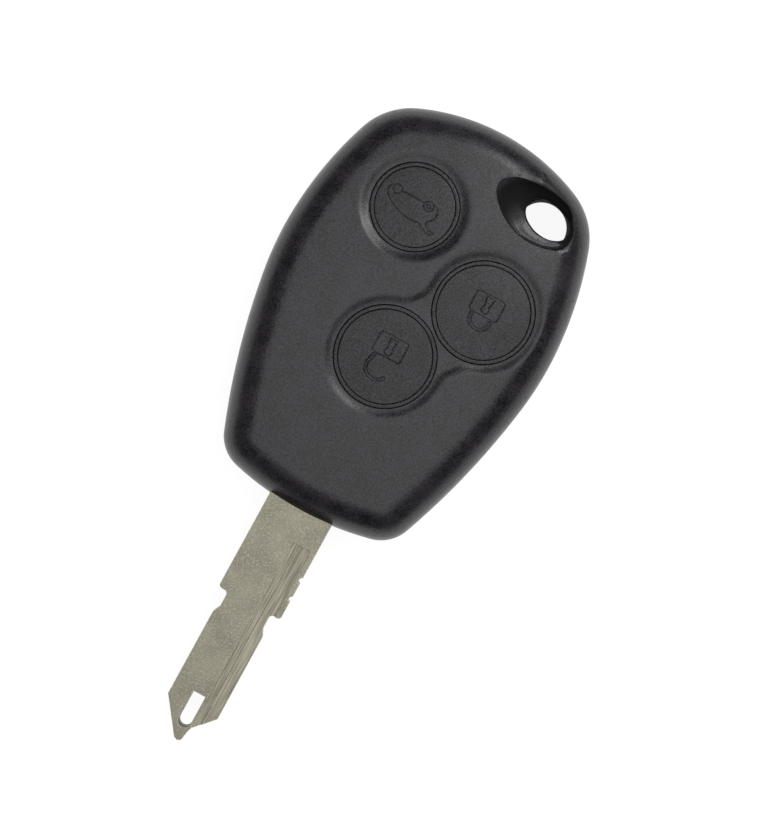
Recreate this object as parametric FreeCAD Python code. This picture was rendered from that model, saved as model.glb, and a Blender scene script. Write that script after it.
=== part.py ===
"""Remote car key: a three-button fob with a fixed blade, built as it comes apart on a bench.

All sizes are in millimetres. The key lies on its flat back at z = 0 with its buttons facing +Z.
The head's round top end points to +Y and the blade's tip to -Y.
The origin is below the middle of the whole key.
"""

import FreeCAD
import Part
import math
import os

from FreeCAD import Rotation, Vector

# Head outline, seen from above
head_length = 54.4
head_width = 38.1
shoulder_inset = 4.0
shoulder_drop = 4.3
waist_rise = 27.5
waist_inset = 0.1
base_inset = 6.7
base_rise = 1.9
upper_side_bow = 1.36
lower_side_bow = 0.89
shoulder_corner_radius = 9.2
waist_corner_radius = 42.0
base_corner_radius = 5.1

# Head thickness and walls
head_thickness = 12.2
parting_height = 6.1
crown_radius = 200.0
crown_forward = 2.0
front_edge_round = 4.8
rear_edge_round = 3.2
wall = 1.6
inner_bevel = 2.0

# Joint between the shells
tongue_height = 0.9
tongue_thickness = 0.7
shell_clearance = 0.05
hook_width = 3.0
hook_thickness = 0.9
hook_reach = 2.4
hook_barb = 0.35
hook_wall_gap = 0.5
lug_height = 0.7
hook_room = 0.2

# Buttons: place from the head's centre, radius of the silicone ring
trunk_place = (-5.44, 13.15)
lock_place = (8.37, 5.70)
unlock_place = (0.28, -4.95)
trunk_ring_radius = 5.54
lock_ring_radius = 6.38
unlock_ring_radius = 6.38
ring_width = 0.44
ring_gap = 0.16
cap_gap = 0.11
dish_margin = 1.38
dish_depth = 0.45
dish_blend = 1.2
dish_slope = 33.0
dish_lip_angle = 6.0
saddle_radius = 5.9
cap_dome_radius = 80.0
cap_thickness = 1.25
cap_edge_bevel = 0.2
post_radius = 1.5
button_travel = 0.3

# Silicone mat under the front shell
mat_top = 9.4
mat_thickness = 0.8
mat_flange = 1.5
mat_bridge = 6.0
web_thickness = 0.25
mat_pin_radius = 0.6
mat_pin_length = 1.1
mat_pin_spots = ((-0.6, 4.0), (1.9, 11.2))
mat_clearance = 0.1
mat_seat_clearance = 0.4
web_slope = 1.4

# Keyring hole and its funnels
keyring_place = (9.9, 20.1)
keyring_tilt = -15.0
oval_end_share = 0.65
keyring_length = 6.35
keyring_width = 5.65
funnel_place = (8.15, 19.85)
funnel_length = 11.9
funnel_width = 6.9
funnel_depth = 2.7
funnel_waist_share = 0.36
funnel_waist_height = 0.62
funnel_lip = 0.8
funnel_lip_rise = 1.2
rear_bevel = 0.6
keyring_wall = 1.2

# Key blade
blade_reach = 32.9
blade_thickness = 2.3
blade_root_width = 8.9
blade_offset = 0.12
blade_root_reach = 13.3
blade_neck_width = 6.15
blade_neck_reach = 15.4
blade_stem_width = 7.1
blade_stem_start = 16.4
blade_shoulder_round = 0.5
blade_shoulder_share = 0.4
blade_tip_reach = 28.2
blade_tip_width = 1.0
blade_tip_side = 0.24
blade_tip_knee_reach = 31.0
blade_tip_knee_side = 0.3
blade_tip_bevel = 0.25
tip_slot_width = 1.7
tip_slot_start = 26.4
tip_slot_end = 31.1
mill_side = 1.15
mill_start = 3.75
mill_depth = 0.45
groove_width = 0.9
groove_depth = 0.85
root_rib_width = 0.75
rib_notch_places = (7.7, 10.4)
rib_notch_size = 0.45
tang_length = 12.5
tang_hole_radius = 1.8
tang_notch_radius = 1.1

# Case screw near the blade
screw_rise = 7.8
screw_radius = 1.1
screw_head_radius = 1.9
screw_head_height = 1.3
screw_sink = 0.5
screw_length = 7.6
screw_cross_width = 0.55
screw_cross_depth = 0.7
screw_cross_share = 0.62
screw_head_bevel = 0.25
screw_point_bevel = 0.4
pilot_spare = 0.3
boss_radius = 2.75
spigot_clearance = 0.1
screw_clearance = 0.15
thread_clearance = 0.05
rail_thickness = 1.0
rail_start = 1.0

# Circuit board and what it carries
board_bottom = 5.6
board_thickness = 1.0
board_inset = 3.4
board_start_rise = 13.6
board_post_radius = 1.1
side_post_inset = 4.95
top_post_inset = 5.6
left_post_inset = 9.65
right_post_inset = 9.45
board_post_spots = (
    (side_post_inset - head_width / 2, 6.4),
    (2.8, head_length / 2 - top_post_inset),
    (left_post_inset - head_width / 2, -10.4),
    (head_width / 2 - right_post_inset, -10.9),
)
keyring_board_gap = 0.6
switch_size = 4.5
switch_floor = 0.35
switch_cover = 0.2
switch_stem_radius = 1.1
switch_stem_rise = 0.35
switch_flange_radius = 1.45
switch_flange_height = 0.35
switch_play = 0.15
switch_stem_clearance = 0.1
switch_stem_bevel = 0.12
plunger_slack = 0.02
dome_thickness = 0.1
dome_pressed_height = 0.26
post_gap = 0.05

# Coin cell and contacts
cell_place = (-2.4, 3.0)
cell_radius = 10.0
cell_thickness = 1.6
cell_bottom = 3.5
cell_bevel = 0.3
cell_lid_rise = 0.2
cell_gasket_width = 1.3
cell_clearance = 0.3
cell_wall_thickness = 1.0
cell_wall_grip = 1.0
cell_rib_width = 1.0
cell_rib_shares = (-0.62, 0.0, 0.62)
strap_width = 5.0
strap_thickness = 0.25
strap_clearance = 0.15
contact_radius = 4.0
contact_thickness = 0.2
contact_finger = (1.6, 1.2)
contact_turns = (90, 210, 330)

# Parts on the board: place from the head's centre, then length, width and height
coil_inset = 7.85
coil_place = (coil_inset - head_width / 2, -1.0)
coil_size = (3.4, 9.0, 2.0)
coil_flange = 1.0
coil_winding_inset = 0.45
coil_winding_sink = 0.2
chip_inset = 9.65
chip_place = (head_width / 2 - chip_inset, -6.0)
chip_size = (5.0, 4.4, 1.1)
chip_lead_length = 0.6
chip_lead_width = 0.24
chip_lead_height = 0.25
chip_lead_pitch = 0.65
chip_lead_count = 7
chip_stand = 0.1
resonator_place = (2.0, 15.2)
resonator_size = (3.8, 3.8, 1.4)
resonator_corner = 0.4
resonator_bevel = 0.15
capacitor_size = (1.6, 0.8, 0.8)
capacitor_places = ((-8.6, -7.6), (-6.2, -7.6), (6.0, -10.6), (3.2, -11.6), (-12.0, 8.6), (-9.6, 6.6))

# Values worked out from the sizes above
tip_y = -(head_length + blade_reach) / 2
base_y = tip_y + blade_reach
top_y = base_y + head_length
centre_y = base_y + head_length / 2
half_width = head_width / 2
board_top = board_bottom + board_thickness
blade_bottom = parting_height - blade_thickness / 2
blade_top = parting_height + blade_thickness / 2
screw_y = base_y + screw_rise
mat_bottom = mat_top - mat_thickness
dome_bottom = board_top + switch_floor
dome_top = dome_bottom + dome_pressed_height + button_travel
switch_cover_bottom = dome_top + switch_flange_height + 2 * plunger_slack
stem_top = switch_cover_bottom + switch_cover + switch_stem_rise
crown_centre = Vector(0, centre_y + crown_forward, head_thickness - crown_radius)
screw_axis = Vector(blade_offset, screw_y, 0)
beyond = 30.0
past = 1.0
overlap = 0.1
tolerance = 0.01

BUTTONS = {
    "trunk": (trunk_place, trunk_ring_radius),
    "lock": (lock_place, lock_ring_radius),
    "unlock": (unlock_place, unlock_ring_radius),
}


def at(place, z=0.0):
    """A point given from the head's centre, in the key's frame."""
    return Vector(place[0], centre_y + place[1], z)


def cylinder(radius, z0, z1, centre):
    return Part.makeCylinder(radius, z1 - z0, Vector(centre.x, centre.y, z0))


def block(x0, x1, y0, y1, z0, z1):
    return Part.makeBox(x1 - x0, y1 - y0, z1 - z0, Vector(x0, y0, z0))


def joined(pieces):
    first, rest = pieces[0], pieces[1:]
    return first.fuse(rest).removeSplitter() if rest else first


def mirrored(point):
    return Vector(-point.x, point.y, point.z)


# Head outline


def circle_through(a, b, c):
    curve = Part.Arc(a, b, c).toShape().Curve
    return curve.Center, curve.Radius


def bowed(a, b, bow):
    """The middle of a side that bulges outwards by bow."""
    along = b - a
    out = Vector(along.y, -along.x, 0).normalize()
    if out.x < 0:
        out = out * -1
    return (a + b) * 0.5 + out * bow


def corner_circle(first, second, near, radius):
    """The circle of a rounded corner that touches two larger circles from inside."""
    gap = second[0] - first[0]
    span = gap.Length
    to_first = first[1] - radius
    to_second = second[1] - radius
    along = (to_first**2 - to_second**2 + span**2) / (2 * span)
    across = math.sqrt(to_first**2 - along**2)
    direction = gap * (1 / span)
    side = Vector(-direction.y, direction.x, 0)
    choices = [first[0] + direction * along + side * across, first[0] + direction * along - side * across]
    return min(choices, key=lambda point: (point - near).Length), radius


def outline_circles():
    """The circles that the head's outline follows in turn, clockwise from the top end."""
    shoulder = Vector(half_width - shoulder_inset, top_y - shoulder_drop, 0)
    waist = Vector(half_width - waist_inset, base_y + waist_rise, 0)
    base = Vector(half_width - base_inset, base_y + base_rise, 0)
    top = circle_through(mirrored(shoulder), Vector(0, top_y, 0), shoulder)
    upper = circle_through(shoulder, bowed(shoulder, waist, upper_side_bow), waist)
    lower = circle_through(waist, bowed(waist, base, lower_side_bow), base)
    bottom = circle_through(base, Vector(0, base_y, 0), mirrored(base))
    right = [
        corner_circle(top, upper, shoulder, shoulder_corner_radius),
        upper,
        corner_circle(upper, lower, waist, waist_corner_radius),
        lower,
        corner_circle(lower, bottom, base, base_corner_radius),
    ]
    left = [(mirrored(centre), radius) for centre, radius in reversed(right)]
    return [top] + right + [bottom] + left


CIRCLES = outline_circles()


def touch_point(first, second):
    """Where two circles touch, one inside the other."""
    large, small = (first, second) if first[1] > second[1] else (second, first)
    return large[0] + (small[0] - large[0]).normalize() * large[1]


def outline_face(inset, z):
    """The head's outline, moved inwards by inset, as a flat face at height z."""
    circles = [(centre, radius - inset) for centre, radius in CIRCLES]
    joints = [touch_point(circles[i], circles[(i + 1) % len(circles)]) for i in range(len(circles))]
    edges = []
    for i, (centre, radius) in enumerate(circles):
        start, end = joints[i - 1], joints[i]
        middle = centre + ((start + end) * 0.5 - centre).normalize() * radius
        edges.append(Part.Arc(start, middle, end).toShape())
    face = Part.Face(Part.Wire(edges))
    face.translate(Vector(0, 0, z))
    return face


def prism(inset, z0, z1):
    return outline_face(inset, z0).extrude(Vector(0, 0, z1 - z0))


def ball(radius, centre):
    """A ball whose poles and seam are turned away from its upper side."""
    shape = Part.makeSphere(radius)
    shape.rotate(Vector(0, 0, 0), Vector(0, 1, 0), 90)
    shape.translate(centre)
    return shape


def crown(lowered=0.0):
    """The large ball whose skin is the crowned button face."""
    return ball(crown_radius - lowered, crown_centre)


def crown_height(point, lowered=0.0):
    reach = crown_radius - lowered
    across = math.hypot(point.x - crown_centre.x, point.y - crown_centre.y)
    return crown_centre.z + math.sqrt(reach**2 - across**2)


def side_place(index, share):
    """A point on one circle of the outline, a share of the way along, with its outward angle."""
    centre, radius = CIRCLES[index]
    start = touch_point(CIRCLES[index - 1], CIRCLES[index])
    end = touch_point(CIRCLES[index], CIRCLES[(index + 1) % len(CIRCLES)])
    out = (start + (end - start) * share - centre).normalize()
    return centre + out * radius, math.degrees(math.atan2(out.y, out.x))


def placed_on_side(shape, index, share, inset):
    """Turns a shape, drawn with +X outwards at the origin, to a place on the outline."""
    point, angle = side_place(index, share)
    shape.rotate(Vector(0, 0, 0), Vector(0, 0, 1), angle)
    out = Vector(math.cos(math.radians(angle)), math.sin(math.radians(angle)), 0)
    shape.translate(Vector(point.x, point.y, 0) - out * inset)
    return shape


# Ovals of the keyring hole


def oval_wire(length, width, centre, z):
    """An oval of two tight end arcs and two flatter side arcs, turned by the keyring tilt."""
    end_radius = oval_end_share * width / 2
    end_x = length / 2 - end_radius
    spare = width / 2 - end_radius
    side_y = (end_x**2 - spare**2) / (2 * spare)
    end_centre = Vector(end_x, 0, 0)
    touch = end_centre + (end_centre - Vector(0, -side_y, 0)).normalize() * end_radius
    corners = [
        Vector(-touch.x, -touch.y, z),
        Vector(touch.x, -touch.y, z),
        Vector(touch.x, touch.y, z),
        Vector(-touch.x, touch.y, z),
    ]
    middles = [
        Vector(0, -width / 2, z),
        Vector(length / 2, 0, z),
        Vector(0, width / 2, z),
        Vector(-length / 2, 0, z),
    ]
    arcs = [Part.Arc(corners[i], middles[i], corners[(i + 1) % 4]).toShape() for i in range(4)]
    wire = Part.Wire(arcs)
    wire.rotate(Vector(0, 0, 0), Vector(0, 0, 1), keyring_tilt)
    wire.translate(Vector(centre.x, centre.y, 0))
    return wire


def keyring_oval(grow, z):
    return oval_wire(keyring_length + 2 * grow, keyring_width + 2 * grow, at(keyring_place), z)


def funnel_section(share, grow, z):
    """An oval on the way from the neck of the funnel (share 0) to its rim (share 1)."""
    neck, rim = at(keyring_place), at(funnel_place)
    length = keyring_length + (funnel_length - keyring_length) * share + 2 * grow
    width = keyring_width + (funnel_width - keyring_width) * share + 2 * grow
    return oval_wire(length, width, neck + (rim - neck) * share, z)


def keyring_passage():
    """What the keyring hole takes away: a straight oval, the front funnel and a bevel at the back."""
    rim_z = crown_height(at(funnel_place))
    neck_z = rim_z - funnel_depth
    straight = Part.Face(keyring_oval(0, -past)).extrude(Vector(0, 0, head_thickness + 2 * past))
    bowl = Part.makeLoft(
        [
            funnel_section(0, 0, neck_z),
            funnel_section(funnel_waist_share, 0, neck_z + funnel_depth * funnel_waist_height),
            funnel_section(1, 0, rim_z),
        ],
        True,
        False,
    )
    lip_top = funnel_section(1, funnel_lip, rim_z + funnel_lip_rise)
    lip = Part.makeLoft([funnel_section(1, 0, rim_z), lip_top], True, True)
    rear_wires = [keyring_oval(2 * rear_bevel, -rear_bevel), keyring_oval(0, rear_bevel)]
    rear = Part.makeLoft(rear_wires, True, True)
    return joined([straight, bowl, lip, rear])


def keyring_boss(z0, z1):
    """The wall round the keyring hole inside the head."""
    boss = Part.Face(keyring_oval(keyring_wall, z0)).extrude(Vector(0, 0, z1 - z0))
    rim_z = crown_height(at(funnel_place))
    neck_z = rim_z - funnel_depth
    if z1 <= neck_z:
        return boss
    flare_foot = funnel_section(0, keyring_wall, neck_z - keyring_wall)
    flare = Part.makeLoft([flare_foot, funnel_section(1, keyring_wall, rim_z)], True, True)
    return joined([boss, flare])


# Shells


def is_upright(edge):
    return math.hypot(edge.BoundBox.XLength, edge.BoundBox.YLength) < tolerance


def edges_at(shape, z):
    """The edges that lie flat at height z."""
    return [e for e in shape.Edges if max(abs(e.BoundBox.ZMin - z), abs(e.BoundBox.ZMax - z)) < tolerance]


def front_outside():
    """The front half of the head: its outline under the crown, with a rounded rim."""
    body = prism(0, parting_height, head_thickness + past).common(crown())
    rim = [e for e in body.Edges if e.BoundBox.ZMin > parting_height + past and not is_upright(e)]
    return body.makeFillet(front_edge_round, rim)


def front_inside():
    """The hollow of the front half, a wall thickness inside it and bevelled at the rim."""
    ceiling = head_thickness - wall
    hollow = prism(wall, parting_height, ceiling)
    hollow = hollow.makeChamfer(inner_bevel, edges_at(hollow, ceiling))
    return hollow.common(crown(wall))


def rear_outside():
    body = prism(0, 0, parting_height)
    return body.makeFillet(rear_edge_round, edges_at(body, 0))


def rear_inside():
    hollow = prism(wall, wall, parting_height)
    return hollow.makeChamfer(inner_bevel, edges_at(hollow, wall))


def dish(place, rim_radius):
    """The cutter of a shallow round dish with a sloped wall and a rounded rim, square to the crown."""
    slope = math.radians(dish_slope)
    lip_turn = math.radians(dish_lip_angle)
    sag = crown_radius - math.sqrt(crown_radius**2 - rim_radius**2)

    def on_rim_arc(angle):
        return Vector(
            rim_radius - dish_blend * math.sin(angle),
            0,
            -dish_blend * (1 - math.cos(angle)) - sag,
        )

    lip = on_rim_arc(lip_turn)
    slope_top = on_rim_arc(slope)
    floor_z = -dish_depth - sag
    slope_foot = Vector(slope_top.x - (slope_top.z - floor_z) / math.tan(slope), 0, floor_z)
    above = 0.5
    lip_end = Vector(lip.x + above / math.tan(lip_turn), 0, lip.z + above)
    axis_top = Vector(0, 0, lip_end.z)
    axis_floor = Vector(0, 0, floor_z)
    edges = [
        Part.LineSegment(axis_floor, slope_foot).toShape(),
        Part.LineSegment(slope_foot, slope_top).toShape(),
        Part.Arc(slope_top, on_rim_arc((slope + lip_turn) / 2), lip).toShape(),
        Part.LineSegment(lip, lip_end).toShape(),
        Part.LineSegment(lip_end, axis_top).toShape(),
        Part.LineSegment(axis_top, axis_floor).toShape(),
    ]
    cutter = Part.Face(Part.Wire(edges)).revolve(Vector(0, 0, 0), Vector(0, 0, 1), 360)
    centre = at(place)
    centre.z = crown_height(centre)
    normal = (centre - crown_centre).normalize()
    cutter.Placement = FreeCAD.Placement(centre, Rotation(Vector(0, 0, 1), normal))
    return cutter


def mat_outline(grow, z0, z1):
    """Three round pads joined by bridges: the mat's shape, also used for its seat."""
    pads = [cylinder(radius + mat_flange + grow, z0, z1, at(place)) for place, radius in BUTTONS.values()]
    names = list(BUTTONS)
    half = mat_bridge / 2 + grow
    for i, name in enumerate(names):
        start = at(BUTTONS[name][0])
        end = at(BUTTONS[names[(i + 1) % len(names)]][0])
        along = end - start
        bridge = Part.makeBox(along.Length, 2 * half, z1 - z0, Vector(0, -half, z0))
        bridge.rotate(Vector(0, 0, 0), Vector(0, 0, 1), math.degrees(math.atan2(along.y, along.x)))
        bridge.translate(Vector(start.x, start.y, 0))
        pads.append(bridge)
    return joined(pads)


def blade_slot():
    """The opening in the base wall that the blade's root passes through."""
    side = blade_root_width / 2 + shell_clearance
    return block(
        blade_offset - side,
        blade_offset + side,
        base_y - past,
        base_y + tang_length + shell_clearance,
        blade_bottom - shell_clearance,
        blade_top + shell_clearance,
    )


def tang_rails(z0, z1):
    """Two rails beside the tang and a cross wall behind it."""
    side = blade_root_width / 2 + shell_clearance
    back = base_y + tang_length + shell_clearance
    outer = side + rail_thickness
    start = base_y + rail_start
    return [
        block(blade_offset - outer, blade_offset - side, start, back + rail_thickness, z0, z1),
        block(blade_offset + side, blade_offset + outer, start, back + rail_thickness, z0, z1),
        block(blade_offset - outer, blade_offset + outer, back, back + rail_thickness, z0, z1),
    ]


def tang_keys(z0, z1):
    """Half-round keys on the rails that hold the tang against a pull."""
    side = blade_root_width / 2 + shell_clearance
    radius = tang_notch_radius - shell_clearance
    return [
        cylinder(radius, z0, z1, Vector(blade_offset - side, screw_y, 0)),
        cylinder(radius, z0, z1, Vector(blade_offset + side, screw_y, 0)),
    ]


def hook_places():
    """Two snap hooks on each long side: index into the outline's circles and share along it."""
    last = len(CIRCLES)
    return [(2, 0.45), (4, 0.5), (last - 2, 0.55), (last - 4, 0.5)]


def board_post_places():
    return [at(place) for place in board_post_spots]


def front_shell():
    ceiling = head_thickness - wall
    outer = front_outside()
    cavity = front_inside()
    seat = mat_outline(mat_seat_clearance, mat_top, head_thickness)
    boss = keyring_boss(parting_height, head_thickness)
    screw_boss = cylinder(boss_radius, blade_top, ceiling, screw_axis)
    rails = tang_rails(parting_height, ceiling)
    posts = [cylinder(board_post_radius, board_top, ceiling, place) for place in board_post_places()]
    inside = joined([seat, boss, screw_boss] + rails + posts).common(cavity)
    shell = outer.cut(cavity).fuse(inside)

    tongue_foot = parting_height - tongue_height
    tongue = prism(wall - tongue_thickness - shell_clearance, tongue_foot, parting_height)
    tongue = tongue.cut(prism(wall - shell_clearance, tongue_foot, parting_height))
    spigot_radius = tang_hole_radius - spigot_clearance
    spigot = cylinder(spigot_radius, blade_bottom + spigot_clearance, blade_top, screw_axis)
    pins = [cylinder(mat_pin_radius, mat_top - mat_pin_length, mat_top, at(spot)) for spot in mat_pin_spots]
    hooks = [snap_hook(index, share) for index, share in hook_places()]
    keys = tang_keys(parting_height, blade_top + past)
    shell = shell.fuse([tongue, spigot] + pins + hooks)

    cuts = [dish(place, radius + dish_margin) for place, radius in BUTTONS.values()]
    middle = ((lock_place[0] + unlock_place[0]) / 2, (lock_place[1] + unlock_place[1]) / 2)
    cuts.append(dish(middle, saddle_radius))
    cuts += [
        cylinder(radius + ring_gap, mat_top - overlap, head_thickness, at(place))
        for place, radius in BUTTONS.values()
    ]
    cuts.append(keyring_passage())
    cuts.append(blade_slot())
    pilot_radius = screw_radius + thread_clearance
    pilot_top = screw_sink + screw_head_height + screw_length + pilot_spare
    cuts.append(cylinder(pilot_radius, parting_height - blade_thickness, pilot_top, screw_axis))
    shell = shell.cut(cuts)
    shell = shell.fuse(keys_in_slot(keys))
    return shell.removeSplitter()


def keys_in_slot(keys):
    """The part of the tang keys that stands in the blade's slot."""
    slot = blade_slot()
    return [key.common(slot) for key in keys]


def snap_hook(index, share):
    """A hook that hangs from the front shell's wall and catches under a lug of the rear shell."""
    bottom = parting_height - hook_reach
    top = parting_height + hook_thickness * 2
    reach = hook_wall_gap + 2 * overlap
    root = block(-hook_thickness, reach, -hook_width / 2, hook_width / 2, parting_height, top)
    leg = block(-hook_thickness, 0, -hook_width / 2, hook_width / 2, bottom, top)
    barb_points = [
        Vector(0, 0, bottom),
        Vector(hook_barb, 0, bottom + hook_barb),
        Vector(hook_barb, 0, bottom + 2 * hook_barb),
        Vector(0, 0, bottom + 2 * hook_barb),
    ]
    barb = Part.Face(Part.makePolygon(barb_points + barb_points[:1]))
    barb = barb.extrude(Vector(0, hook_width, 0))
    barb.translate(Vector(0, -hook_width / 2, 0))
    hook = joined([root, leg, barb])
    return placed_on_side(hook, index, share, wall + hook_wall_gap)


def catch_lug(index, share):
    """The rear shell's lug above a hook's barb."""
    bottom = parting_height - hook_reach + 2 * hook_barb + shell_clearance
    reach = hook_wall_gap - shell_clearance
    lug = block(-reach, 2 * overlap, -hook_width / 2, hook_width / 2, bottom, bottom + lug_height)
    return placed_on_side(lug, index, share, wall)


def rear_shell():
    outer = rear_outside()
    cavity = rear_inside()
    boss = keyring_boss(0, parting_height)
    screw_boss = cylinder(boss_radius, wall / 2, blade_bottom, screw_axis)
    rails = tang_rails(wall / 2, parting_height)
    posts = [cylinder(board_post_radius, wall / 2, board_bottom, place) for place in board_post_places()]
    ribs = []
    cell = at(cell_place)
    for share in cell_rib_shares:
        y = cell.y + share * cell_radius
        half = math.sqrt(cell_radius**2 - (share * cell_radius) ** 2)
        top = cell_bottom - strap_thickness if share == 0 else cell_bottom
        low_y, high_y = y - cell_rib_width / 2, y + cell_rib_width / 2
        ribs.append(block(cell.x - half, cell.x + half, low_y, high_y, wall / 2, top))
    wall_inside = cell_radius + cell_clearance
    cell_wall = cylinder(wall_inside + cell_wall_thickness, wall / 2, cell_bottom + cell_wall_grip, cell)
    cell_wall = cell_wall.cut(cylinder(wall_inside, wall / 2, parting_height, cell))
    way = strap_width / 2 + cell_clearance
    strap_way = block(cell.x - beyond, cell.x + beyond, cell.y - way, cell.y + way, 0, parting_height)
    cell_wall = cell_wall.cut(strap_way)
    half_wall = prism(wall / 2, wall / 2, parting_height)
    half_wall = half_wall.makeChamfer(inner_bevel, edges_at(half_wall, wall / 2))
    inside = joined([boss, screw_boss, cell_wall] + rails + posts + ribs).common(half_wall)
    shell = outer.cut(cavity).fuse(inside)
    lugs = [catch_lug(index, share) for index, share in hook_places()]
    shell = shell.fuse(lugs)

    rebate_side = wall - tongue_thickness - 2 * shell_clearance
    rebate = prism(rebate_side, parting_height - tongue_height - 2 * shell_clearance, parting_height + past)
    rebate = rebate.cut(prism(wall, 0, parting_height + 2 * past))
    head_radius = screw_head_radius + screw_clearance
    cuts = [
        rebate,
        keyring_passage(),
        blade_slot(),
        cylinder(head_radius, -past, screw_sink + screw_head_height, screw_axis),
        cylinder(screw_radius + screw_clearance, 0, parting_height, screw_axis),
    ]
    shell = shell.cut(cuts)
    shell = shell.fuse(keys_in_slot(tang_keys(blade_bottom - past, parting_height)))
    return shell.removeSplitter()


def hook_space(index, share):
    """The room that a snap hook needs in the board's edge."""
    half = hook_width / 2 + hook_room
    room = block(-hook_thickness - hook_room, hook_barb, -half, half, 0, parting_height)
    return placed_on_side(room, index, share, wall + hook_wall_gap)


# Buttons


def button_mat():
    mat = mat_outline(0, mat_bottom, mat_top)
    mat = mat.common(prism(wall + inner_bevel + mat_clearance, mat_bottom, mat_top))
    lowered = crown(dish_depth)
    collars = []
    bores = []
    for place, radius in BUTTONS.values():
        collars.append(cylinder(radius, mat_top - overlap, head_thickness, at(place)).common(lowered))
        bores.append(cylinder(radius - ring_width, mat_bottom - past, head_thickness, at(place)))
    holes = [
        cylinder(mat_pin_radius + shell_clearance, mat_bottom - past, mat_top + past, at(spot))
        for spot in mat_pin_spots
    ]
    return joined([mat] + collars).cut(bores + holes)


def cap_radius(radius):
    return radius - ring_width - cap_gap


def cap_bottom(place):
    return crown_height(at(place), dish_depth) - cap_thickness


def button_cap(name):
    """A domed disc with a post that reaches down to the switch."""
    place, radius = BUTTONS[name]
    centre = at(place)
    low = cap_bottom(place)
    top = crown_height(centre, dish_depth)
    normal = (Vector(centre.x, centre.y, top) - crown_centre).normalize()
    dome = ball(cap_dome_radius, Vector(centre.x, centre.y, top) - normal * cap_dome_radius)
    disc = cylinder(cap_radius(radius), low, top + past, centre).common(dome)
    rim = [e for e in disc.Edges if e.BoundBox.ZMin > low + overlap and not is_upright(e)]
    disc = disc.makeChamfer(cap_edge_bevel, rim)
    post = cylinder(post_radius, stem_top + post_gap, low + overlap, centre)
    return joined([disc, post])


def button_web(name):
    """The thin silicone cone that carries the cap and lets it travel."""
    place, radius = BUTTONS[name]
    outer = radius - ring_width - shell_clearance
    inner = post_radius + shell_clearance
    low = mat_bottom
    high = cap_bottom(place) - web_thickness
    knee = inner + web_slope * (high - low)
    points = [
        Vector(outer, 0, low),
        Vector(outer, 0, low + web_thickness),
        Vector(knee, 0, low + web_thickness),
        Vector(inner, 0, high + web_thickness),
        Vector(inner, 0, high),
        Vector(knee, 0, low),
    ]
    section = Part.Face(Part.makePolygon(points + points[:1]))
    web = section.revolve(Vector(0, 0, 0), Vector(0, 0, 1), 360)
    web.translate(Vector(at(place).x, at(place).y, 0))
    return web


# Blade and screw


def blade_outline():
    """The blade from the tang's end to the tip, with its shoulders, neck and pointed end."""
    left_root = blade_offset - blade_root_width / 2
    right_root = blade_offset + blade_root_width / 2
    neck = blade_neck_width / 2
    stem = blade_stem_width / 2
    tip = blade_offset + blade_tip_side
    half_tip = blade_tip_width / 2

    def down(reach):
        return base_y - reach

    corners = [
        (left_root, base_y + tang_length),
        (left_root, down(blade_root_reach)),
        (blade_offset - neck, down(blade_root_reach)),
        (blade_offset - neck, down(blade_neck_reach)),
        (blade_offset - stem, down(blade_stem_start)),
        (blade_offset - stem, down(blade_tip_reach)),
        (tip - half_tip, down(blade_reach - blade_tip_bevel)),
        (tip, down(blade_reach)),
        (tip + half_tip, down(blade_reach - blade_tip_bevel)),
        (tip + half_tip + blade_tip_knee_side, down(blade_tip_knee_reach)),
        (blade_offset + stem, down(blade_tip_reach)),
        (blade_offset + stem, down(blade_stem_start)),
        (blade_offset + neck, down(blade_neck_reach)),
        (blade_offset + neck, down(blade_root_reach)),
        (right_root, down(blade_root_reach)),
        (right_root, base_y + tang_length),
    ]
    points = [Vector(x, y, blade_bottom) for x, y in corners]
    return Part.Face(Part.makePolygon(points + points[:1]))


def through_blade(radius, x, y):
    """A round cutter that goes through the blade's thickness."""
    return cylinder(radius, blade_bottom - past, blade_top + past, Vector(x, y, 0))


def key_blade():
    plate = blade_outline().extrude(Vector(0, 0, blade_thickness))
    uprights = [e for e in plate.Edges if is_upright(e)]
    root_end = base_y - blade_root_reach
    shoulders = [e for e in uprights if abs(e.BoundBox.YMin - root_end) < tolerance]
    shoulder_step = (blade_root_width - blade_neck_width) / 2
    plate = plate.makeFillet(min(blade_shoulder_round, blade_shoulder_share * shoulder_step), shoulders)
    right = blade_offset + blade_root_width / 2
    mill_x = blade_offset + mill_side
    mill_y0 = base_y - blade_reach - past
    mill_y1 = base_y - mill_start
    cuts = []
    for low, high in (
        (blade_top - mill_depth, blade_top + past),
        (blade_bottom - past, blade_bottom + mill_depth),
    ):
        cuts.append(block(mill_x, right - root_rib_width, mill_y0, mill_y1, low, high))
        cuts.append(block(mill_x, right + past, mill_y0, root_end - overlap / 2, low, high))
    for low, high in (
        (blade_top - groove_depth, blade_top + past),
        (blade_bottom - past, blade_bottom + groove_depth),
    ):
        cuts.append(block(mill_x, mill_x + groove_width, mill_y0, mill_y1, low, high))
    for reach in rib_notch_places:
        cuts.append(through_blade(rib_notch_size, right + overlap, base_y - reach))
    slot_x = blade_offset
    slot_r = tip_slot_width / 2
    slot_end = base_y - tip_slot_end + slot_r
    cuts.append(
        block(
            slot_x - slot_r,
            slot_x + slot_r,
            slot_end,
            base_y - tip_slot_start,
            blade_bottom - past,
            blade_top + past,
        )
    )
    cuts.append(through_blade(slot_r, slot_x, slot_end))
    cuts.append(through_blade(tang_hole_radius, blade_offset, screw_y))
    for side in (-1, 1):
        cuts.append(through_blade(tang_notch_radius, blade_offset + side * blade_root_width / 2, screw_y))
    return plate.cut(cuts)


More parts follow.
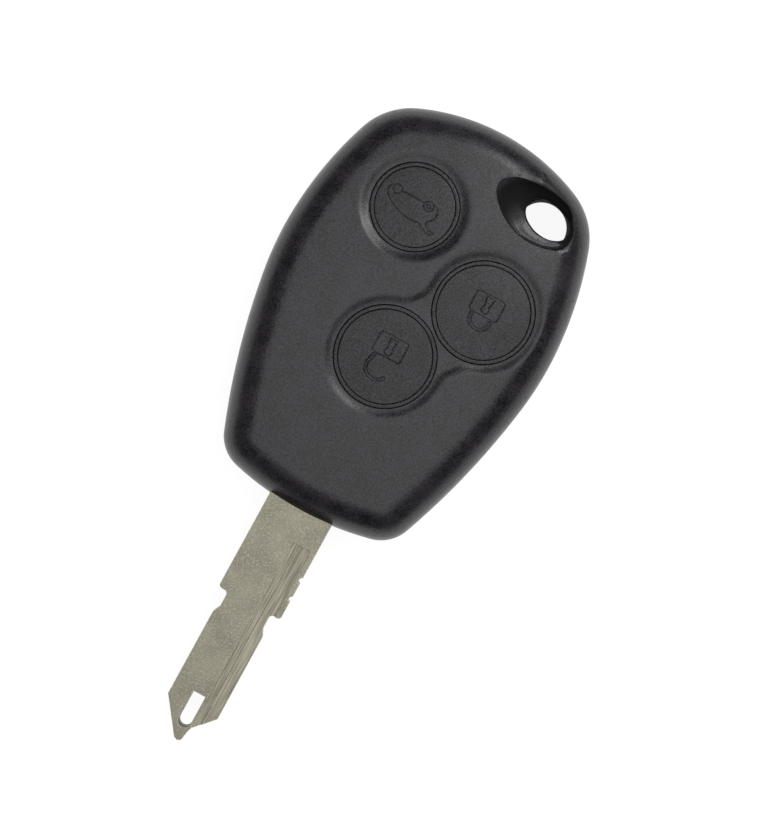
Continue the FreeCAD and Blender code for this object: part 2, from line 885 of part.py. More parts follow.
def case_screw():
    """A cross-recessed screw driven from the back into the front shell's boss."""
    head = cylinder(screw_head_radius, screw_sink, screw_sink + screw_head_height, screw_axis)
    shank_top = screw_sink + screw_head_height + screw_length
    shank = cylinder(screw_radius, screw_sink + screw_head_height, shank_top, screw_axis)
    shank = shank.makeChamfer(screw_point_bevel, edges_at(shank, shank_top))
    half = screw_cross_width / 2
    span = screw_head_radius * screw_cross_share
    low, high = screw_sink - past, screw_sink + screw_cross_depth
    x, y = screw_axis.x, screw_axis.y
    cross = [
        block(x - span, x + span, y - half, y + half, low, high),
        block(x - half, x + half, y - span, y + span, low, high),
    ]
    head = head.makeChamfer(screw_head_bevel, edges_at(head, screw_sink))
    return joined([head, shank]).cut(cross)


# Circuit board, switches and cell


def circuit_board():
    board = prism(board_inset, board_bottom, board_top)
    start = base_y + board_start_rise + rail_thickness
    board = board.common(block(-beyond, beyond, start, top_y, 0, head_thickness))
    keep_out = Part.Face(keyring_oval(keyring_wall + keyring_board_gap, board_bottom - past))
    keep_out = keep_out.extrude(Vector(0, 0, board_thickness + 2 * past))
    hooks = [hook_space(index, share) for index, share in hook_places()]
    return board.cut([keep_out] + hooks)


def square_on(centre, side, z0, z1):
    half = side / 2
    return block(centre.x - half, centre.x + half, centre.y - half, centre.y + half, z0, z1)


def switch_housing(name):
    centre = at(BUTTONS[name][0])
    box = square_on(centre, switch_size, board_top, switch_cover_bottom)
    room = switch_flange_radius + switch_play
    return box.cut(cylinder(room, dome_bottom, head_thickness, centre))


def switch_top(name):
    """The pressed metal cover that keeps the plunger in its housing."""
    centre = at(BUTTONS[name][0])
    plate = square_on(centre, switch_size, switch_cover_bottom, switch_cover_bottom + switch_cover)
    hole_radius = switch_stem_radius + switch_stem_clearance
    return plate.cut(cylinder(hole_radius, board_top, head_thickness, centre))


def switch_plunger(name):
    centre = at(BUTTONS[name][0])
    flange_top = switch_cover_bottom - plunger_slack
    flange = cylinder(switch_flange_radius, flange_top - switch_flange_height, flange_top, centre)
    stem = cylinder(switch_stem_radius, flange_top - overlap, stem_top, centre)
    stem = stem.makeChamfer(switch_stem_bevel, edges_at(stem, stem_top))
    return joined([flange, stem])


def switch_dome(name):
    """The sprung metal dome under the plunger that gives the click and lifts the button again."""
    centre = at(BUTTONS[name][0])
    foot = switch_flange_radius
    crest = switch_flange_radius / 2
    points = [
        Vector(0, 0, dome_top - dome_thickness),
        Vector(crest, 0, dome_top - dome_thickness),
        Vector(foot - dome_thickness, 0, dome_bottom),
        Vector(foot, 0, dome_bottom),
        Vector(crest, 0, dome_top),
        Vector(0, 0, dome_top),
    ]
    dome = Part.Face(Part.makePolygon(points + points[:1])).revolve(Vector(0, 0, 0), Vector(0, 0, 1), 360)
    dome.translate(Vector(centre.x, centre.y, 0))
    return dome


def coin_cell():
    centre = at(cell_place)
    cell_top = cell_bottom + cell_thickness
    can_top = cell_top - cell_lid_rise
    can = cylinder(cell_radius, cell_bottom, can_top, centre)
    can = can.makeChamfer(cell_bevel, edges_at(can, cell_bottom))
    lid = cylinder(cell_radius - cell_gasket_width, can_top - overlap, cell_top, centre)
    return joined([can, lid])


def positive_contact():
    """A strap that passes under the cell and comes up beside it to the board."""
    centre = at(cell_place)
    half = strap_width / 2
    inner = cell_radius + strap_clearance
    outer = inner + strap_thickness
    low = cell_bottom - strap_thickness
    strap = [
        block(centre.x - outer, centre.x + outer, centre.y - half, centre.y + half, low, cell_bottom),
        block(centre.x - outer, centre.x - inner, centre.y - half, centre.y + half, low, board_bottom),
        block(centre.x + inner, centre.x + outer, centre.y - half, centre.y + half, low, board_bottom),
    ]
    return joined(strap)


def negative_contact():
    """A round plate under the board with three fingers that press on the cell's lid."""
    centre = at(cell_place)
    low = cell_bottom + cell_thickness
    plate = cylinder(contact_radius, board_bottom - contact_thickness, board_bottom, centre)
    length, width = contact_finger
    fingers = []
    for turn in contact_turns:
        start = contact_radius - length
        foot = block(start, contact_radius, -width / 2, width / 2, low, board_bottom - overlap)
        foot.rotate(Vector(0, 0, 0), Vector(0, 0, 1), turn)
        foot.translate(Vector(centre.x, centre.y, 0))
        fingers.append(foot)
    return joined([plate] + fingers)


def on_board(place, size):
    """A block of the given size that stands on the board."""
    centre = at(place)
    return block(
        centre.x - size[0] / 2,
        centre.x + size[0] / 2,
        centre.y - size[1] / 2,
        centre.y + size[1] / 2,
        board_top,
        board_top + size[2],
    )


def transponder_coil():
    """A ferrite rod with end flanges and a winding between them."""
    width, length, height = coil_size
    rod = on_board(coil_place, coil_size)
    centre = at(coil_place)
    waist = width / 2 - coil_winding_inset
    low_y = centre.y - length / 2 + coil_flange
    high_y = centre.y + length / 2 - coil_flange
    low, high = board_top + coil_winding_sink, board_top + height - coil_winding_sink
    window = block(centre.x - width, centre.x + width, low_y, high_y, board_bottom, head_thickness)
    winding = block(centre.x - waist, centre.x + waist, low_y, high_y, low, high)
    return rod.cut(window).fuse(winding).removeSplitter()


def control_chip():
    """A moulded package with a row of leads along both long sides."""
    length, width, height = chip_size
    body = on_board(chip_place, (length, width - 2 * chip_lead_length, height))
    body.translate(Vector(0, 0, chip_stand))
    centre = at(chip_place)
    leads = []
    for i in range(chip_lead_count):
        x = centre.x + (i - (chip_lead_count - 1) / 2) * chip_lead_pitch
        low_x, high_x = x - chip_lead_width / 2, x + chip_lead_width / 2
        for end in (centre.y - width / 2, centre.y + width / 2 - chip_lead_length):
            low_y, high_y = end - overlap, end + chip_lead_length + overlap
            leads.append(block(low_x, high_x, low_y, high_y, board_top, board_top + chip_lead_height))
    return joined([body] + leads)


def resonator():
    can = on_board(resonator_place, resonator_size)
    can = can.makeFillet(resonator_corner, [e for e in can.Edges if is_upright(e)])
    return can.makeChamfer(resonator_bevel, edges_at(can, board_top + resonator_size[2]))


def capacitors():
    return Part.makeCompound([on_board(place, capacitor_size) for place in capacitor_places])


def main():
    parts = {
        "front_shell": front_shell(),
        "rear_shell": rear_shell(),
        "button_mat": button_mat(),
        "key_blade": key_blade(),
        "case_screw": case_screw(),
        "circuit_board": circuit_board(),
        "coin_cell": coin_cell(),
        "positive_contact": positive_contact(),
        "negative_contact": negative_contact(),
        "transponder_coil": transponder_coil(),
        "control_chip": control_chip(),
        "resonator": resonator(),
        "capacitors": capacitors(),
    }
    for name in BUTTONS:
        parts[name + "_button"] = button_cap(name)
        parts[name + "_button_web"] = button_web(name)
        parts[name + "_switch_housing"] = switch_housing(name)
        parts[name + "_switch_cover"] = switch_top(name)
        parts[name + "_switch_plunger"] = switch_plunger(name)
        parts[name + "_switch_dome"] = switch_dome(name)
    os.makedirs("parts", exist_ok=True)
    for name, shape in parts.items():
        shape.exportStep("parts/" + name + ".step")


main()
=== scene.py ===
"""Remote car key: the finish of its housing, buttons and blade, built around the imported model.

Sizes are in millimetres in the values below and turn to metres where a mesh is made.
The key lies on its back, its head points to +Y and its blade to -Y.
"""

import math

import bmesh
import bpy
import numpy as np
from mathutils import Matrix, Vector
from mathutils.bvhtree import BVHTree


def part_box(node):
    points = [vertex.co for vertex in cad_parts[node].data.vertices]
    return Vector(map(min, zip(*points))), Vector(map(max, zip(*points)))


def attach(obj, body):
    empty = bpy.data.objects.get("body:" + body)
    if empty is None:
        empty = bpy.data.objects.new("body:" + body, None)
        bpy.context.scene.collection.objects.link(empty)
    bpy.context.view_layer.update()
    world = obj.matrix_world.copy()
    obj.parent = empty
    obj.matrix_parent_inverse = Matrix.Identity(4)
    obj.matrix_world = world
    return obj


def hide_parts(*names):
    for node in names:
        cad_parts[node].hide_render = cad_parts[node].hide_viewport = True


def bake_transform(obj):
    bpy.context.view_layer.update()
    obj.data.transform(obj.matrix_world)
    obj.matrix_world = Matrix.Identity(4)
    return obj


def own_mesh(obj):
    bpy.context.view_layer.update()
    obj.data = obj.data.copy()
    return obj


bl_info = {
    "name": "Remote car key",
    "version": (1, 0, 0),
    "blender": (4, 5, 0),
    "location": "View3D > Sidebar > Remote key",
    "description": "Finishes the moulded head, the rubber buttons and the plated blade of a remote car key",
    "category": "Object",
}

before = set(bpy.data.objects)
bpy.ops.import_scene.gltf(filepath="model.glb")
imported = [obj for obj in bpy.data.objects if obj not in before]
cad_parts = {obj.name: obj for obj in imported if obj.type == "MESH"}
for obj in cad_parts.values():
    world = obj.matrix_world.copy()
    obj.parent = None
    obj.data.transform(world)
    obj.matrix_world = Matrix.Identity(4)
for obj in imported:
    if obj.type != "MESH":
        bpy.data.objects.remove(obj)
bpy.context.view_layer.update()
MM = 0.001


def middle_of(node_name):
    """Where the middle of a CAD node lies, seen from above, to a hundredth of a millimetre."""
    low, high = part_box(node_name)
    return tuple(round((low[i] + high[i]) / 2 / MM, 2) for i in (0, 1))


# The joint of the two halves, the head's crowned face, and how far below it the upward faces lie
HEAD_CENTRE_Y = 16.45
PARTING_HEIGHT = 6.1
PARTING_TOLERANCE = 0.005
CROWN_RADIUS = 200.0
CROWN_CENTRE = Vector((0.0, 18.45, -187.8))
CROWN_TOLERANCE = 0.003
FACE_DROPS = (-0.1, 2.5)

# Faces whose normals climb less than this are walls
WALL_CLIMB = 0.3

# Edges that turn more than these angles, in degrees, are shaded sharp
HOUSING_SHARP = 40
CAP_SHARP = 40
BLADE_SHARP = 50
PLAIN_SHARP = 28
# Edges that turn more than these angles are bevelled, and faces that turn less than the last become one
CORNER = 60
BLADE_CORNER = 40
BLADE_FLAT = 1

# Buttons: place in the key's frame and radius of the raised ring round each
BUTTONS = {
    "trunk": (middle_of("trunk_button"), 5.54),
    "lock": (middle_of("lock_button"), 6.38),
    "unlock": (middle_of("unlock_button"), 6.38),
}

# The raised rings, and the caps' section from their domed tops to the posts that press the switches
RING_WIDTH = 0.44
RING_SWELL = 0.05
RING_TOLERANCE = 0.03
RING_SEGMENTS = 4
CAP_GAP = 0.05
CAP_DOME_RADIUS = 80.0
CAP_THICKNESS = 1.25
CAP_SKIRT = 0.25
CAP_EDGE_STEPS = 5
POST_RADIUS = 1.5
POST_END = 8.5

# Dishes round the buttons: centre and radius of each rim; the last one, a waist, joins two of the others
DISH_DEPTH = 0.45
DISH_MARGIN = 1.38
DISHES = [(place, radius + DISH_MARGIN) for place, radius in BUTTONS.values()]
WAIST_PLACE = (4.325, HEAD_CENTRE_Y + 0.375)
DISHES.append((WAIST_PLACE, 5.5))

# The dishes' edges: how softly they join, their width, and how far round them the face is cut anew
DISH_BLEND = 0.5
DISH_SLOPE = 1.05
DISH_SURROUND = 1.5
DISH_TOLERANCE = 0.02

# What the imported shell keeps: the reach of its own waist, and the drop where the head's rim starts
SHELL_WAIST_RADIUS = 5.95
RIM_KEPT = 0.9

# The map of the dishes' depths: its step, margin and edge, its blur, and the height from which it is felt
DEPTH_MAP_STEP = 0.15
DEPTH_MAP_MARGIN = 1.0
DEPTH_MAP_EDGE = 1.001
BLUR_REACH = 3
FEELER_HEIGHT = 20.0

# Keyring hole: its axes, its neck and how finely its walls are cut
HOLE_PLACE = (9.9, HEAD_CENTRE_Y + 20.1)
HOLE_ACROSS = Vector((0.259, 0.966))
HOLE_ALONG = Vector((-0.966, 0.259))
HOLE_HALF_WIDTH = 2.8
NECK_HEIGHT = 8.54
NECK_SWELL = 0.55
FAR_SWELL = 0.9
NECK_SWELL_REACH = 1.7
NECK_ROUNDING_REACH = 0.9
NECK_ROUNDING = 4
FUNNEL_PLACE = (8.15, HEAD_CENTRE_Y + 19.85)
FUNNEL_HALF_LENGTH = 6.8
FUNNEL_HALF_WIDTH = 4.3
FUNNEL_STEP = 0.15
FUNNEL_CELL = 0.4

# The lip beside the neck: where it fades, and depths below the crown before and after it is rounded
LIP_END = 5.4
LIP_FADE = 4.0
LIP_SPREAD = 3.0
LIP_LEAST = 0.05
LIP_DROPS = (0.2, 3.0)
LIP_BEFORE = (0.0, 0.2, 0.6, 1.4, 2.2, 2.6, 2.8, 3.2)
LIP_AFTER = (0.0, 0.8, 1.0, 1.0, 1.1, 1.3, 2.0, 3.2)
LIP_ROUNDING = 3

# The funnel's long end: where it starts, and depths below the crown before and after it is hollowed
LONG_END_START = 1.5
LONG_END_FADE = 2.5
LONG_END_BEFORE = (0.0, 0.1, 0.5, 1.2, 2.0, 2.7)
LONG_END_AFTER = (0.0, 0.25, 1.2, 1.9, 2.4, 2.7)

# The hole's rounded edge at the back, and its walls, scuffed matt and darkened as painted shade: their depth
# and how far they may turn outward
BACK_FLARE = 0.55
BACK_FLARE_HEIGHT = 3.2
BACK_STEP = 0.3
BACK_REACH = 4.2
SCUFF_AND_SHADE_DEPTH = 0.6
SCUFF_AND_SHADE_INWARD = -0.15

# Blade: lowest and highest level of its milled steps, its slot, whose walls are darkened as painted shade,
# and the slopes that show bare metal, brightened further as a painted highlight
MILLED_LEVELS = (6.3, 7.1)
TIP_SLOT_PLACE = (0.12, -39.5)
TIP_SLOT_REACH = 2.5
RUBBED_AND_HIGHLIT_SLOPES = (0.25, 0.97)
BEVEL_SEGMENTS = 2

# How near two points of a mesh count as one: in copies of CAD nodes, in new pieces and cuts, and in slivers
COPY_MERGE = 0.001
NEW_MERGE = 0.0005
SLIVER = 0.02


def linear(code):
    """An sRGB hex colour as linear RGBA."""
    values = [int(code[i : i + 2], 16) / 255 for i in (0, 2, 4)]
    return tuple(v / 12.92 if v <= 0.04045 else ((v + 0.055) / 1.055) ** 2.4 for v in values) + (1.0,)


def per_metre(size):
    """The scale of a pattern whose features measure size, in millimetres."""
    return 1 / (size * MM)


def clamped(value):
    return min(max(value, 0), 1)


def eased(share):
    """A share from 0 to 1 that starts and ends gently."""
    return share**2 * (3 - 2 * share)


# Settings


def colour_property(name, description, code):
    """A colour that the user can change; its default is an sRGB hex code."""
    return bpy.props.FloatVectorProperty(
        name=name, description=description, subtype="COLOR", size=4, min=0, max=1, default=linear(code)
    )


class HousingSettings(bpy.types.PropertyGroup):
    colour: colour_property("Plastic colour", "Colour of the moulded head", "272429")
    grain: bpy.props.FloatProperty(
        name="Grain",
        description="Width of a grain of the plastic, in millimetres; coarser than real, so that it shows",
        default=0.2,
        min=0.05,
    )
    facet: bpy.props.FloatProperty(
        name="Facet",
        description="Spacing of the cuts that make the crowned face smooth, in millimetres",
        default=1.6,
        min=0.5,
    )
    dish_facet: bpy.props.FloatProperty(
        name="Dish facet",
        description="Spacing of the cuts in the dishes round the buttons, in millimetres",
        default=0.3,
        min=0.2,
    )
    dish_softness: bpy.props.FloatProperty(
        name="Dish softness",
        description="How far the edges of the dishes are blurred, in millimetres",
        default=0.25,
        min=0.1,
    )
    seam: bpy.props.FloatProperty(
        name="Seam",
        description="Width of the fine bevel along the joint of the two halves, in millimetres",
        default=0.12,
        min=0.01,
    )


class ButtonSettings(bpy.types.PropertyGroup):
    colour: colour_property("Rubber colour", "Colour of the silicone buttons", "2b282c")
    edge_round: bpy.props.FloatProperty(
        name="Edge radius",
        description="Rounding of a button's rim, in millimetres",
        default=0.08,
        min=0.05,
    )
    ring_round: bpy.props.FloatProperty(
        name="Ring radius",
        description="Rounding along the ring round each button, in millimetres",
        default=0.09,
        min=0.02,
    )
    line_width: bpy.props.FloatProperty(
        name="Line width",
        description="Width of the engraved pictogram's lines, in millimetres",
        default=0.21,
        min=0.1,
    )
    line_depth: bpy.props.FloatProperty(
        name="Line depth",
        description="Depth of the engraved pictogram's lines, in millimetres",
        default=0.1,
        min=0.01,
    )
    radial_steps: bpy.props.IntProperty(
        name="Radial steps",
        description="Faces from the middle of a button to its rim",
        default=96,
        min=16,
    )
    turn_steps: bpy.props.IntProperty(
        name="Turn steps",
        description="Faces round a button",
        default=320,
        min=64,
    )


class BladeSettings(bpy.types.PropertyGroup):
    colour: colour_property("Nickel colour", "Colour of the plated blade", "949081")
    edge: bpy.props.FloatProperty(
        name="Edge",
        description="Width of the blade's worn edges, in millimetres",
        default=0.16,
        min=0.01,
    )


class StageSettings(bpy.types.PropertyGroup):
    key_tilt: bpy.props.FloatProperty(
        name="Key tilt",
        description="Turn of the key in the picture, clockwise",
        subtype="ANGLE",
        default=math.radians(28.75),
    )
    view_width: bpy.props.FloatProperty(
        name="View width",
        description="Width of the picture at the joint of the two halves, in millimetres",
        default=99.2,
    )
    view_distance: bpy.props.FloatProperty(
        name="View distance",
        description="Height of the camera above the joint of the two halves, in millimetres",
        default=215.0,
    )
    key_light: bpy.props.FloatProperty(
        name="Key light",
        description="Power of the soft light beyond the head's round end",
        unit="POWER",
        default=0.45,
    )
    fill_light: bpy.props.FloatProperty(
        name="Fill light",
        description="Power of the wide soft light overhead",
        unit="POWER",
        default=0.755,
    )
    surroundings: bpy.props.FloatProperty(
        name="Surroundings",
        description="Strength of the dim light from all round",
        default=0.1,
    )


# Materials


# Sockets of a Mix node for colours, whose names its other kinds share
MIX_FACTOR, MIX_A, MIX_B = 0, 6, 7
MIX_RESULT = 2

# Pattern of moulded and cast surfaces, by the width of a grain; noise within a span gives the full range
PATCH_GRAINS = 14
PATCH_SHARE = 0.25
TINT_SPAN = (0.41, 0.59)
GLOSS_SPAN = (0.3, 0.7)
GLOSS_SPREAD = 0.04
GRAIN_HEIGHT = 0.5
# The keyring hole's deep walls: their scuffed roughness, and the share of their colour left by a painted
# shade
WORN_ROUGHNESS = 0.95
HOLE_PAINTED_SHADE = 0.06
SILICONE_GRAIN = 0.2

# Patterns of the blade's metal, in millimetres; pits are drawn coarser than real, so that they show
PIT_WIDTH = 0.2
PIT_HEIGHT = 0.06
CLOUD_WIDTH = 3.5
STREAK_WIDTH = 0.16
STREAK_LENGTH = 4.8
FLECK_SPAN = (0.5, 0.75)
CLOUD_SPAN = (0.35, 0.65)

# The blade's shades, as shares of its nickel's colour: dull and bright plate, flecks, milled steel, rubbed
# bare steel brightened further as a painted highlight, and the slot's walls darkened as painted shade
PLATE_SHADES = (0.84, 1.04)
FLECK_SHADE = 1.5
MILLED_SHADES = (0.7, 1.4)
RUBBED_AND_HIGHLIGHT_SHADE = 2.8
SLOT_PAINTED_SHADE = 0.12
PLATE_ROUGHNESS = 0.4
RUBBED_ROUGHNESS = 0.75
PLATE_BUMP = 0.35


def node(tree, kind, inputs, **settings):
    """Adds a shader node; inputs holds a value or another node's output for each socket."""
    added = tree.nodes.new(kind)
    for name, value in settings.items():
        setattr(added, name, value)
    for socket, value in inputs.items():
        if isinstance(value, bpy.types.NodeSocket):
            tree.links.new(value, added.inputs[socket])
        else:
            added.inputs[socket].default_value = value
    return added


def new_material(name):
    """An empty material and its node tree."""
    material = bpy.data.materials.new(name)
    material.use_nodes = True
    material.node_tree.nodes.clear()
    return material, material.node_tree


def shade(colour, share):
    """A colour made darker by a share below 1, or brighter by one above it."""
    return tuple(v * share for v in colour[:3]) + (1.0,)


def grained(name, colour, roughness, grain, bump, mottle, metallic=0.0, ior=1.5):
    """A moulded, cast or rolled surface: a fine grain in relief, with slightly uneven colour and gloss.

    The grain is its width in millimetres. Where the mesh marks the keyring hole's deep walls, they are
    scuffed matt and darkened as painted shade.
    """
    material, tree = new_material(name)
    place = node(tree, "ShaderNodeTexCoord", {}).outputs["Object"]
    fine = node(
        tree,
        "ShaderNodeTexNoise",
        {"Vector": place, "Scale": per_metre(grain), "Detail": 2.0, "Roughness": 0.6},
    ).outputs["Fac"]
    patches = node(
        tree,
        "ShaderNodeTexNoise",
        {"Vector": place, "Scale": per_metre(grain * PATCH_GRAINS), "Detail": 3.0, "Roughness": 0.55},
    ).outputs["Fac"]
    both = node(
        tree, "ShaderNodeMix", {"Factor": PATCH_SHARE, "A": fine, "B": patches}, data_type="FLOAT"
    ).outputs["Result"]
    tint = node(
        tree,
        "ShaderNodeMapRange",
        {"Value": both, "From Min": TINT_SPAN[0], "From Max": TINT_SPAN[1]},
    ).outputs["Result"]
    base = node(
        tree,
        "ShaderNodeMix",
        {MIX_FACTOR: tint, MIX_A: shade(colour, 1 - mottle), MIX_B: shade(colour, 1 + mottle)},
        data_type="RGBA",
    ).outputs[MIX_RESULT]
    gloss = node(
        tree,
        "ShaderNodeMapRange",
        {
            "Value": patches,
            "From Min": GLOSS_SPAN[0],
            "From Max": GLOSS_SPAN[1],
            "To Min": roughness - GLOSS_SPREAD,
            "To Max": roughness + GLOSS_SPREAD,
        },
    ).outputs["Result"]
    scuff_and_shade = node(tree, "ShaderNodeAttribute", {}, attribute_name="scuff_and_shade").outputs["Fac"]
    gloss = node(
        tree, "ShaderNodeMix", {"Factor": scuff_and_shade, "A": gloss, "B": WORN_ROUGHNESS}, data_type="FLOAT"
    ).outputs["Result"]
    # Painted shade: the keyring hole's deep walls darken towards their full depth
    base = node(
        tree,
        "ShaderNodeMix",
        {MIX_FACTOR: scuff_and_shade, MIX_A: base, MIX_B: shade(colour, HOLE_PAINTED_SHADE)},
        data_type="RGBA",
    ).outputs[MIX_RESULT]
    relief = node(
        tree, "ShaderNodeBump", {"Height": fine, "Strength": bump, "Distance": grain * MM * GRAIN_HEIGHT}
    ).outputs["Normal"]
    surface = node(
        tree,
        "ShaderNodeBsdfPrincipled",
        {"Base Color": base, "Roughness": gloss, "Normal": relief, "Metallic": metallic},
    )
    if not metallic:
        surface.inputs["IOR"].default_value = ior
    node(tree, "ShaderNodeOutputMaterial", {"Surface": surface.outputs["BSDF"]})
    return material


def moulded_plastic(colour, grain):
    """ABS moulded in a spark-eroded tool: a fine even grain that breaks its gloss into a soft, wide sheen."""
    return grained(
        "abs_spark_eroded", colour, roughness=0.32, grain=grain, bump=0.22, mottle=1.0, ior=1.54
    )


def silicone(colour):
    """Black silicone rubber from a textured mould: a little duller and warmer than the plastic round it.

    Its grain is drawn coarser than real, so that it shows.
    """
    made = bpy.data.materials.get("silicone_moulded")
    return made or grained(
        "silicone_moulded", colour, roughness=0.38, grain=SILICONE_GRAIN, bump=0.3, mottle=1.0, ior=1.48
    )


def nickel_plate(colour):
    """Steel, tumbled and then nickel-plated: satin and warm, with bright flecks in a faint haze.

    Its milled steps show streaks along the cut; its rubbed edges show bright bare steel, brightened further
    as a painted highlight; the walls of its slot are darkened as painted shade.
    """
    material, tree = new_material("nickel_plate_tumbled")
    place = node(tree, "ShaderNodeTexCoord", {}).outputs["Object"]
    drawn_out = node(
        tree, "ShaderNodeMapping", {"Vector": place, "Scale": (1, STREAK_WIDTH / STREAK_LENGTH, 1)}
    ).outputs[0]
    patterns = []
    for vector, width, detail, span in (
        (place, PIT_WIDTH, 2.0, FLECK_SPAN),
        (place, CLOUD_WIDTH, 3.0, CLOUD_SPAN),
        (drawn_out, STREAK_WIDTH, 2.0, CLOUD_SPAN),
    ):
        noise = node(
            tree, "ShaderNodeTexNoise", {"Vector": vector, "Scale": per_metre(width), "Detail": detail}
        ).outputs["Fac"]
        spread = node(
            tree, "ShaderNodeMapRange", {"Value": noise, "From Min": span[0], "From Max": span[1]}
        ).outputs["Result"]
        patterns.append((noise, spread))
    (pits, flecks), (_, clouds), (streaks, streak_tint) = patterns
    milled, rubbed_and_highlit, painted_slot_shade = (
        node(tree, "ShaderNodeAttribute", {}, attribute_name=name).outputs["Fac"]
        for name in ("milled", "rubbed_and_highlit", "painted_slot_shade")
    )
    cut = node(
        tree,
        "ShaderNodeMix",
        {
            MIX_FACTOR: streak_tint,
            MIX_A: shade(colour, MILLED_SHADES[0]),
            MIX_B: shade(colour, MILLED_SHADES[1]),
        },
        data_type="RGBA",
    ).outputs[MIX_RESULT]
    base = shade(colour, PLATE_SHADES[0])
    # Layers from the bottom up: the rubbed slopes are brightened partly as a painted highlight, the slot's
    # walls darkened as painted shade
    for share, over in (
        (clouds, shade(colour, PLATE_SHADES[1])),
        (flecks, shade(colour, FLECK_SHADE)),
        (milled, cut),
        (rubbed_and_highlit, shade(colour, RUBBED_AND_HIGHLIGHT_SHADE)),
        (painted_slot_shade, shade(colour, SLOT_PAINTED_SHADE)),
    ):
        base = node(
            tree, "ShaderNodeMix", {MIX_FACTOR: share, MIX_A: base, MIX_B: over}, data_type="RGBA"
        ).outputs[MIX_RESULT]
    gloss = node(
        tree,
        "ShaderNodeMix",
        {"Factor": rubbed_and_highlit, "A": PLATE_ROUGHNESS, "B": RUBBED_ROUGHNESS},
        data_type="FLOAT",
    ).outputs["Result"]
    height = node(
        tree, "ShaderNodeMix", {"Factor": milled, "A": pits, "B": streaks}, data_type="FLOAT"
    ).outputs["Result"]
    relief = node(
        tree, "ShaderNodeBump", {"Height": height, "Strength": PLATE_BUMP, "Distance": PIT_HEIGHT * MM}
    ).outputs["Normal"]
    surface = node(
        tree,
        "ShaderNodeBsdfPrincipled",
        {"Base Color": base, "Roughness": gloss, "Normal": relief, "Metallic": 1.0},
    )
    node(tree, "ShaderNodeOutputMaterial", {"Surface": surface.outputs["BSDF"]})
    return material


# Meshes


def merged_copy(name):
    """A CAD node's loose triangles, joined into one surface."""
    bm = bmesh.new()
    bm.from_mesh(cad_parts[name].data)
    bmesh.ops.remove_doubles(bm, verts=bm.verts, dist=COPY_MERGE * MM)
    return bm


def turns(edge, angle):
    """Whether the surface turns more than an angle, in degrees, along an edge."""
    return edge.is_manifold and edge.calc_face_angle(0.0) > math.radians(angle)


def mark_edges(bm, sharp_angle):
    """Smooth shading everywhere but along edges that turn more than sharp_angle, in degrees."""
    for face in bm.faces:
        face.smooth = True
    for edge in bm.edges:
        edge.smooth = not turns(edge, sharp_angle)


def bevel(bm, edges, width, segments):
    """Rounds edges over a width in millimetres."""
    bmesh.ops.bevel(
        bm,
        geom=edges,
        offset=width * MM,
        offset_type="OFFSET",
        segments=segments,
        profile=0.5,
        affect="EDGES",
        clamp_overlap=True,
        material=-1,
    )


def new_piece(name, bm, material, slot, body, *stands_for):
    """Makes the mesh a piece that stands for CAD nodes and rides on a body, if it has only one."""
    mesh = bpy.data.meshes.new(name)
    bm.to_mesh(mesh)
    bm.free()
    if "custom_normal" in mesh.attributes:
        mesh.attributes.remove(mesh.attributes["custom_normal"])
    mesh.materials.clear()
    mesh.materials.append(material)
    piece = bpy.data.objects.new(name, mesh)
    bpy.context.scene.collection.objects.link(piece)
    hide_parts(*stands_for)
    if body:
        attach(piece, body)
    return piece


def weigh_normals(piece):
    """Lets large faces keep their own shading where they meet small ones."""
    modifier = piece.modifiers.new("large faces first", "WEIGHTED_NORMAL")
    modifier.keep_sharp = True
    modifier.mode = "FACE_AREA_WITH_ANGLE"


def crown_height(x, y, lowered=0.0):
    """Height of the crowned face, or of one that lies lower by an even depth, in millimetres."""
    reach = CROWN_RADIUS - lowered
    across = math.hypot(x - CROWN_CENTRE.x, y - CROWN_CENTRE.y)
    return CROWN_CENTRE.z + math.sqrt(reach**2 - across**2)


def turned(bm, section, place, steps):
    """Turns a section of (radius, height) points about the upright axis at place."""
    verts = [bm.verts.new(((place[0] + r) * MM, place[1] * MM, z * MM)) for r, z in section]
    edges = [bm.edges.new(pair) for pair in zip(verts, verts[1:])]
    bmesh.ops.spin(
        bm,
        geom=verts + edges,
        cent=(place[0] * MM, place[1] * MM, 0),
        axis=(0, 0, 1),
        angle=math.tau,
        steps=steps,
        use_merge=True,
    )
    bmesh.ops.remove_doubles(bm, verts=bm.verts, dist=NEW_MERGE * MM)
    bmesh.ops.recalc_face_normals(bm, faces=bm.faces)


# Pictograms, drawn in millimetres from a button's centre with the head's end up


def arc(centre, radius, start, end, steps=14):
    """Points along an arc, from start to end in degrees."""
    angles = [math.radians(start + (end - start) * i / steps) for i in range(steps + 1)]
    return [(centre[0] + radius * math.cos(a), centre[1] + radius * math.sin(a)) for a in angles]


def rounded_box(left, right, low, high, radius):
    corners = [
        ((right - radius, high - radius), 90, 0),
        ((right - radius, low + radius), 0, -90),
        ((left + radius, low + radius), -90, -180),
        ((left + radius, high - radius), -180, -270),
    ]
    points = [p for centre, start, end in corners for p in arc(centre, radius, start, end, steps=4)]
    return points + points[:1]


def keyhole(centre_x, low):
    """A round hole that opens into a slot towards the top."""
    radius, half_slot, height = 0.5, 0.52, 2.1
    round_part = arc((centre_x, low + radius), radius, 130, 410)
    slot = [(centre_x + half_slot, low + height), (centre_x - half_slot, low + height)]
    points = round_part + slot
    return points + points[:1]


def closed_padlock():
    bow_foot = -0.45
    body = rounded_box(left=-1.96, right=1.96, low=bow_foot, high=2.27, radius=0.4)
    bows = []
    for radius in (1.5, 1.14):
        bows.append([(-radius, bow_foot)] + arc((0, -0.95), radius, 180, 360) + [(radius, bow_foot)])
    return [body, keyhole(0.0, -0.12)] + bows


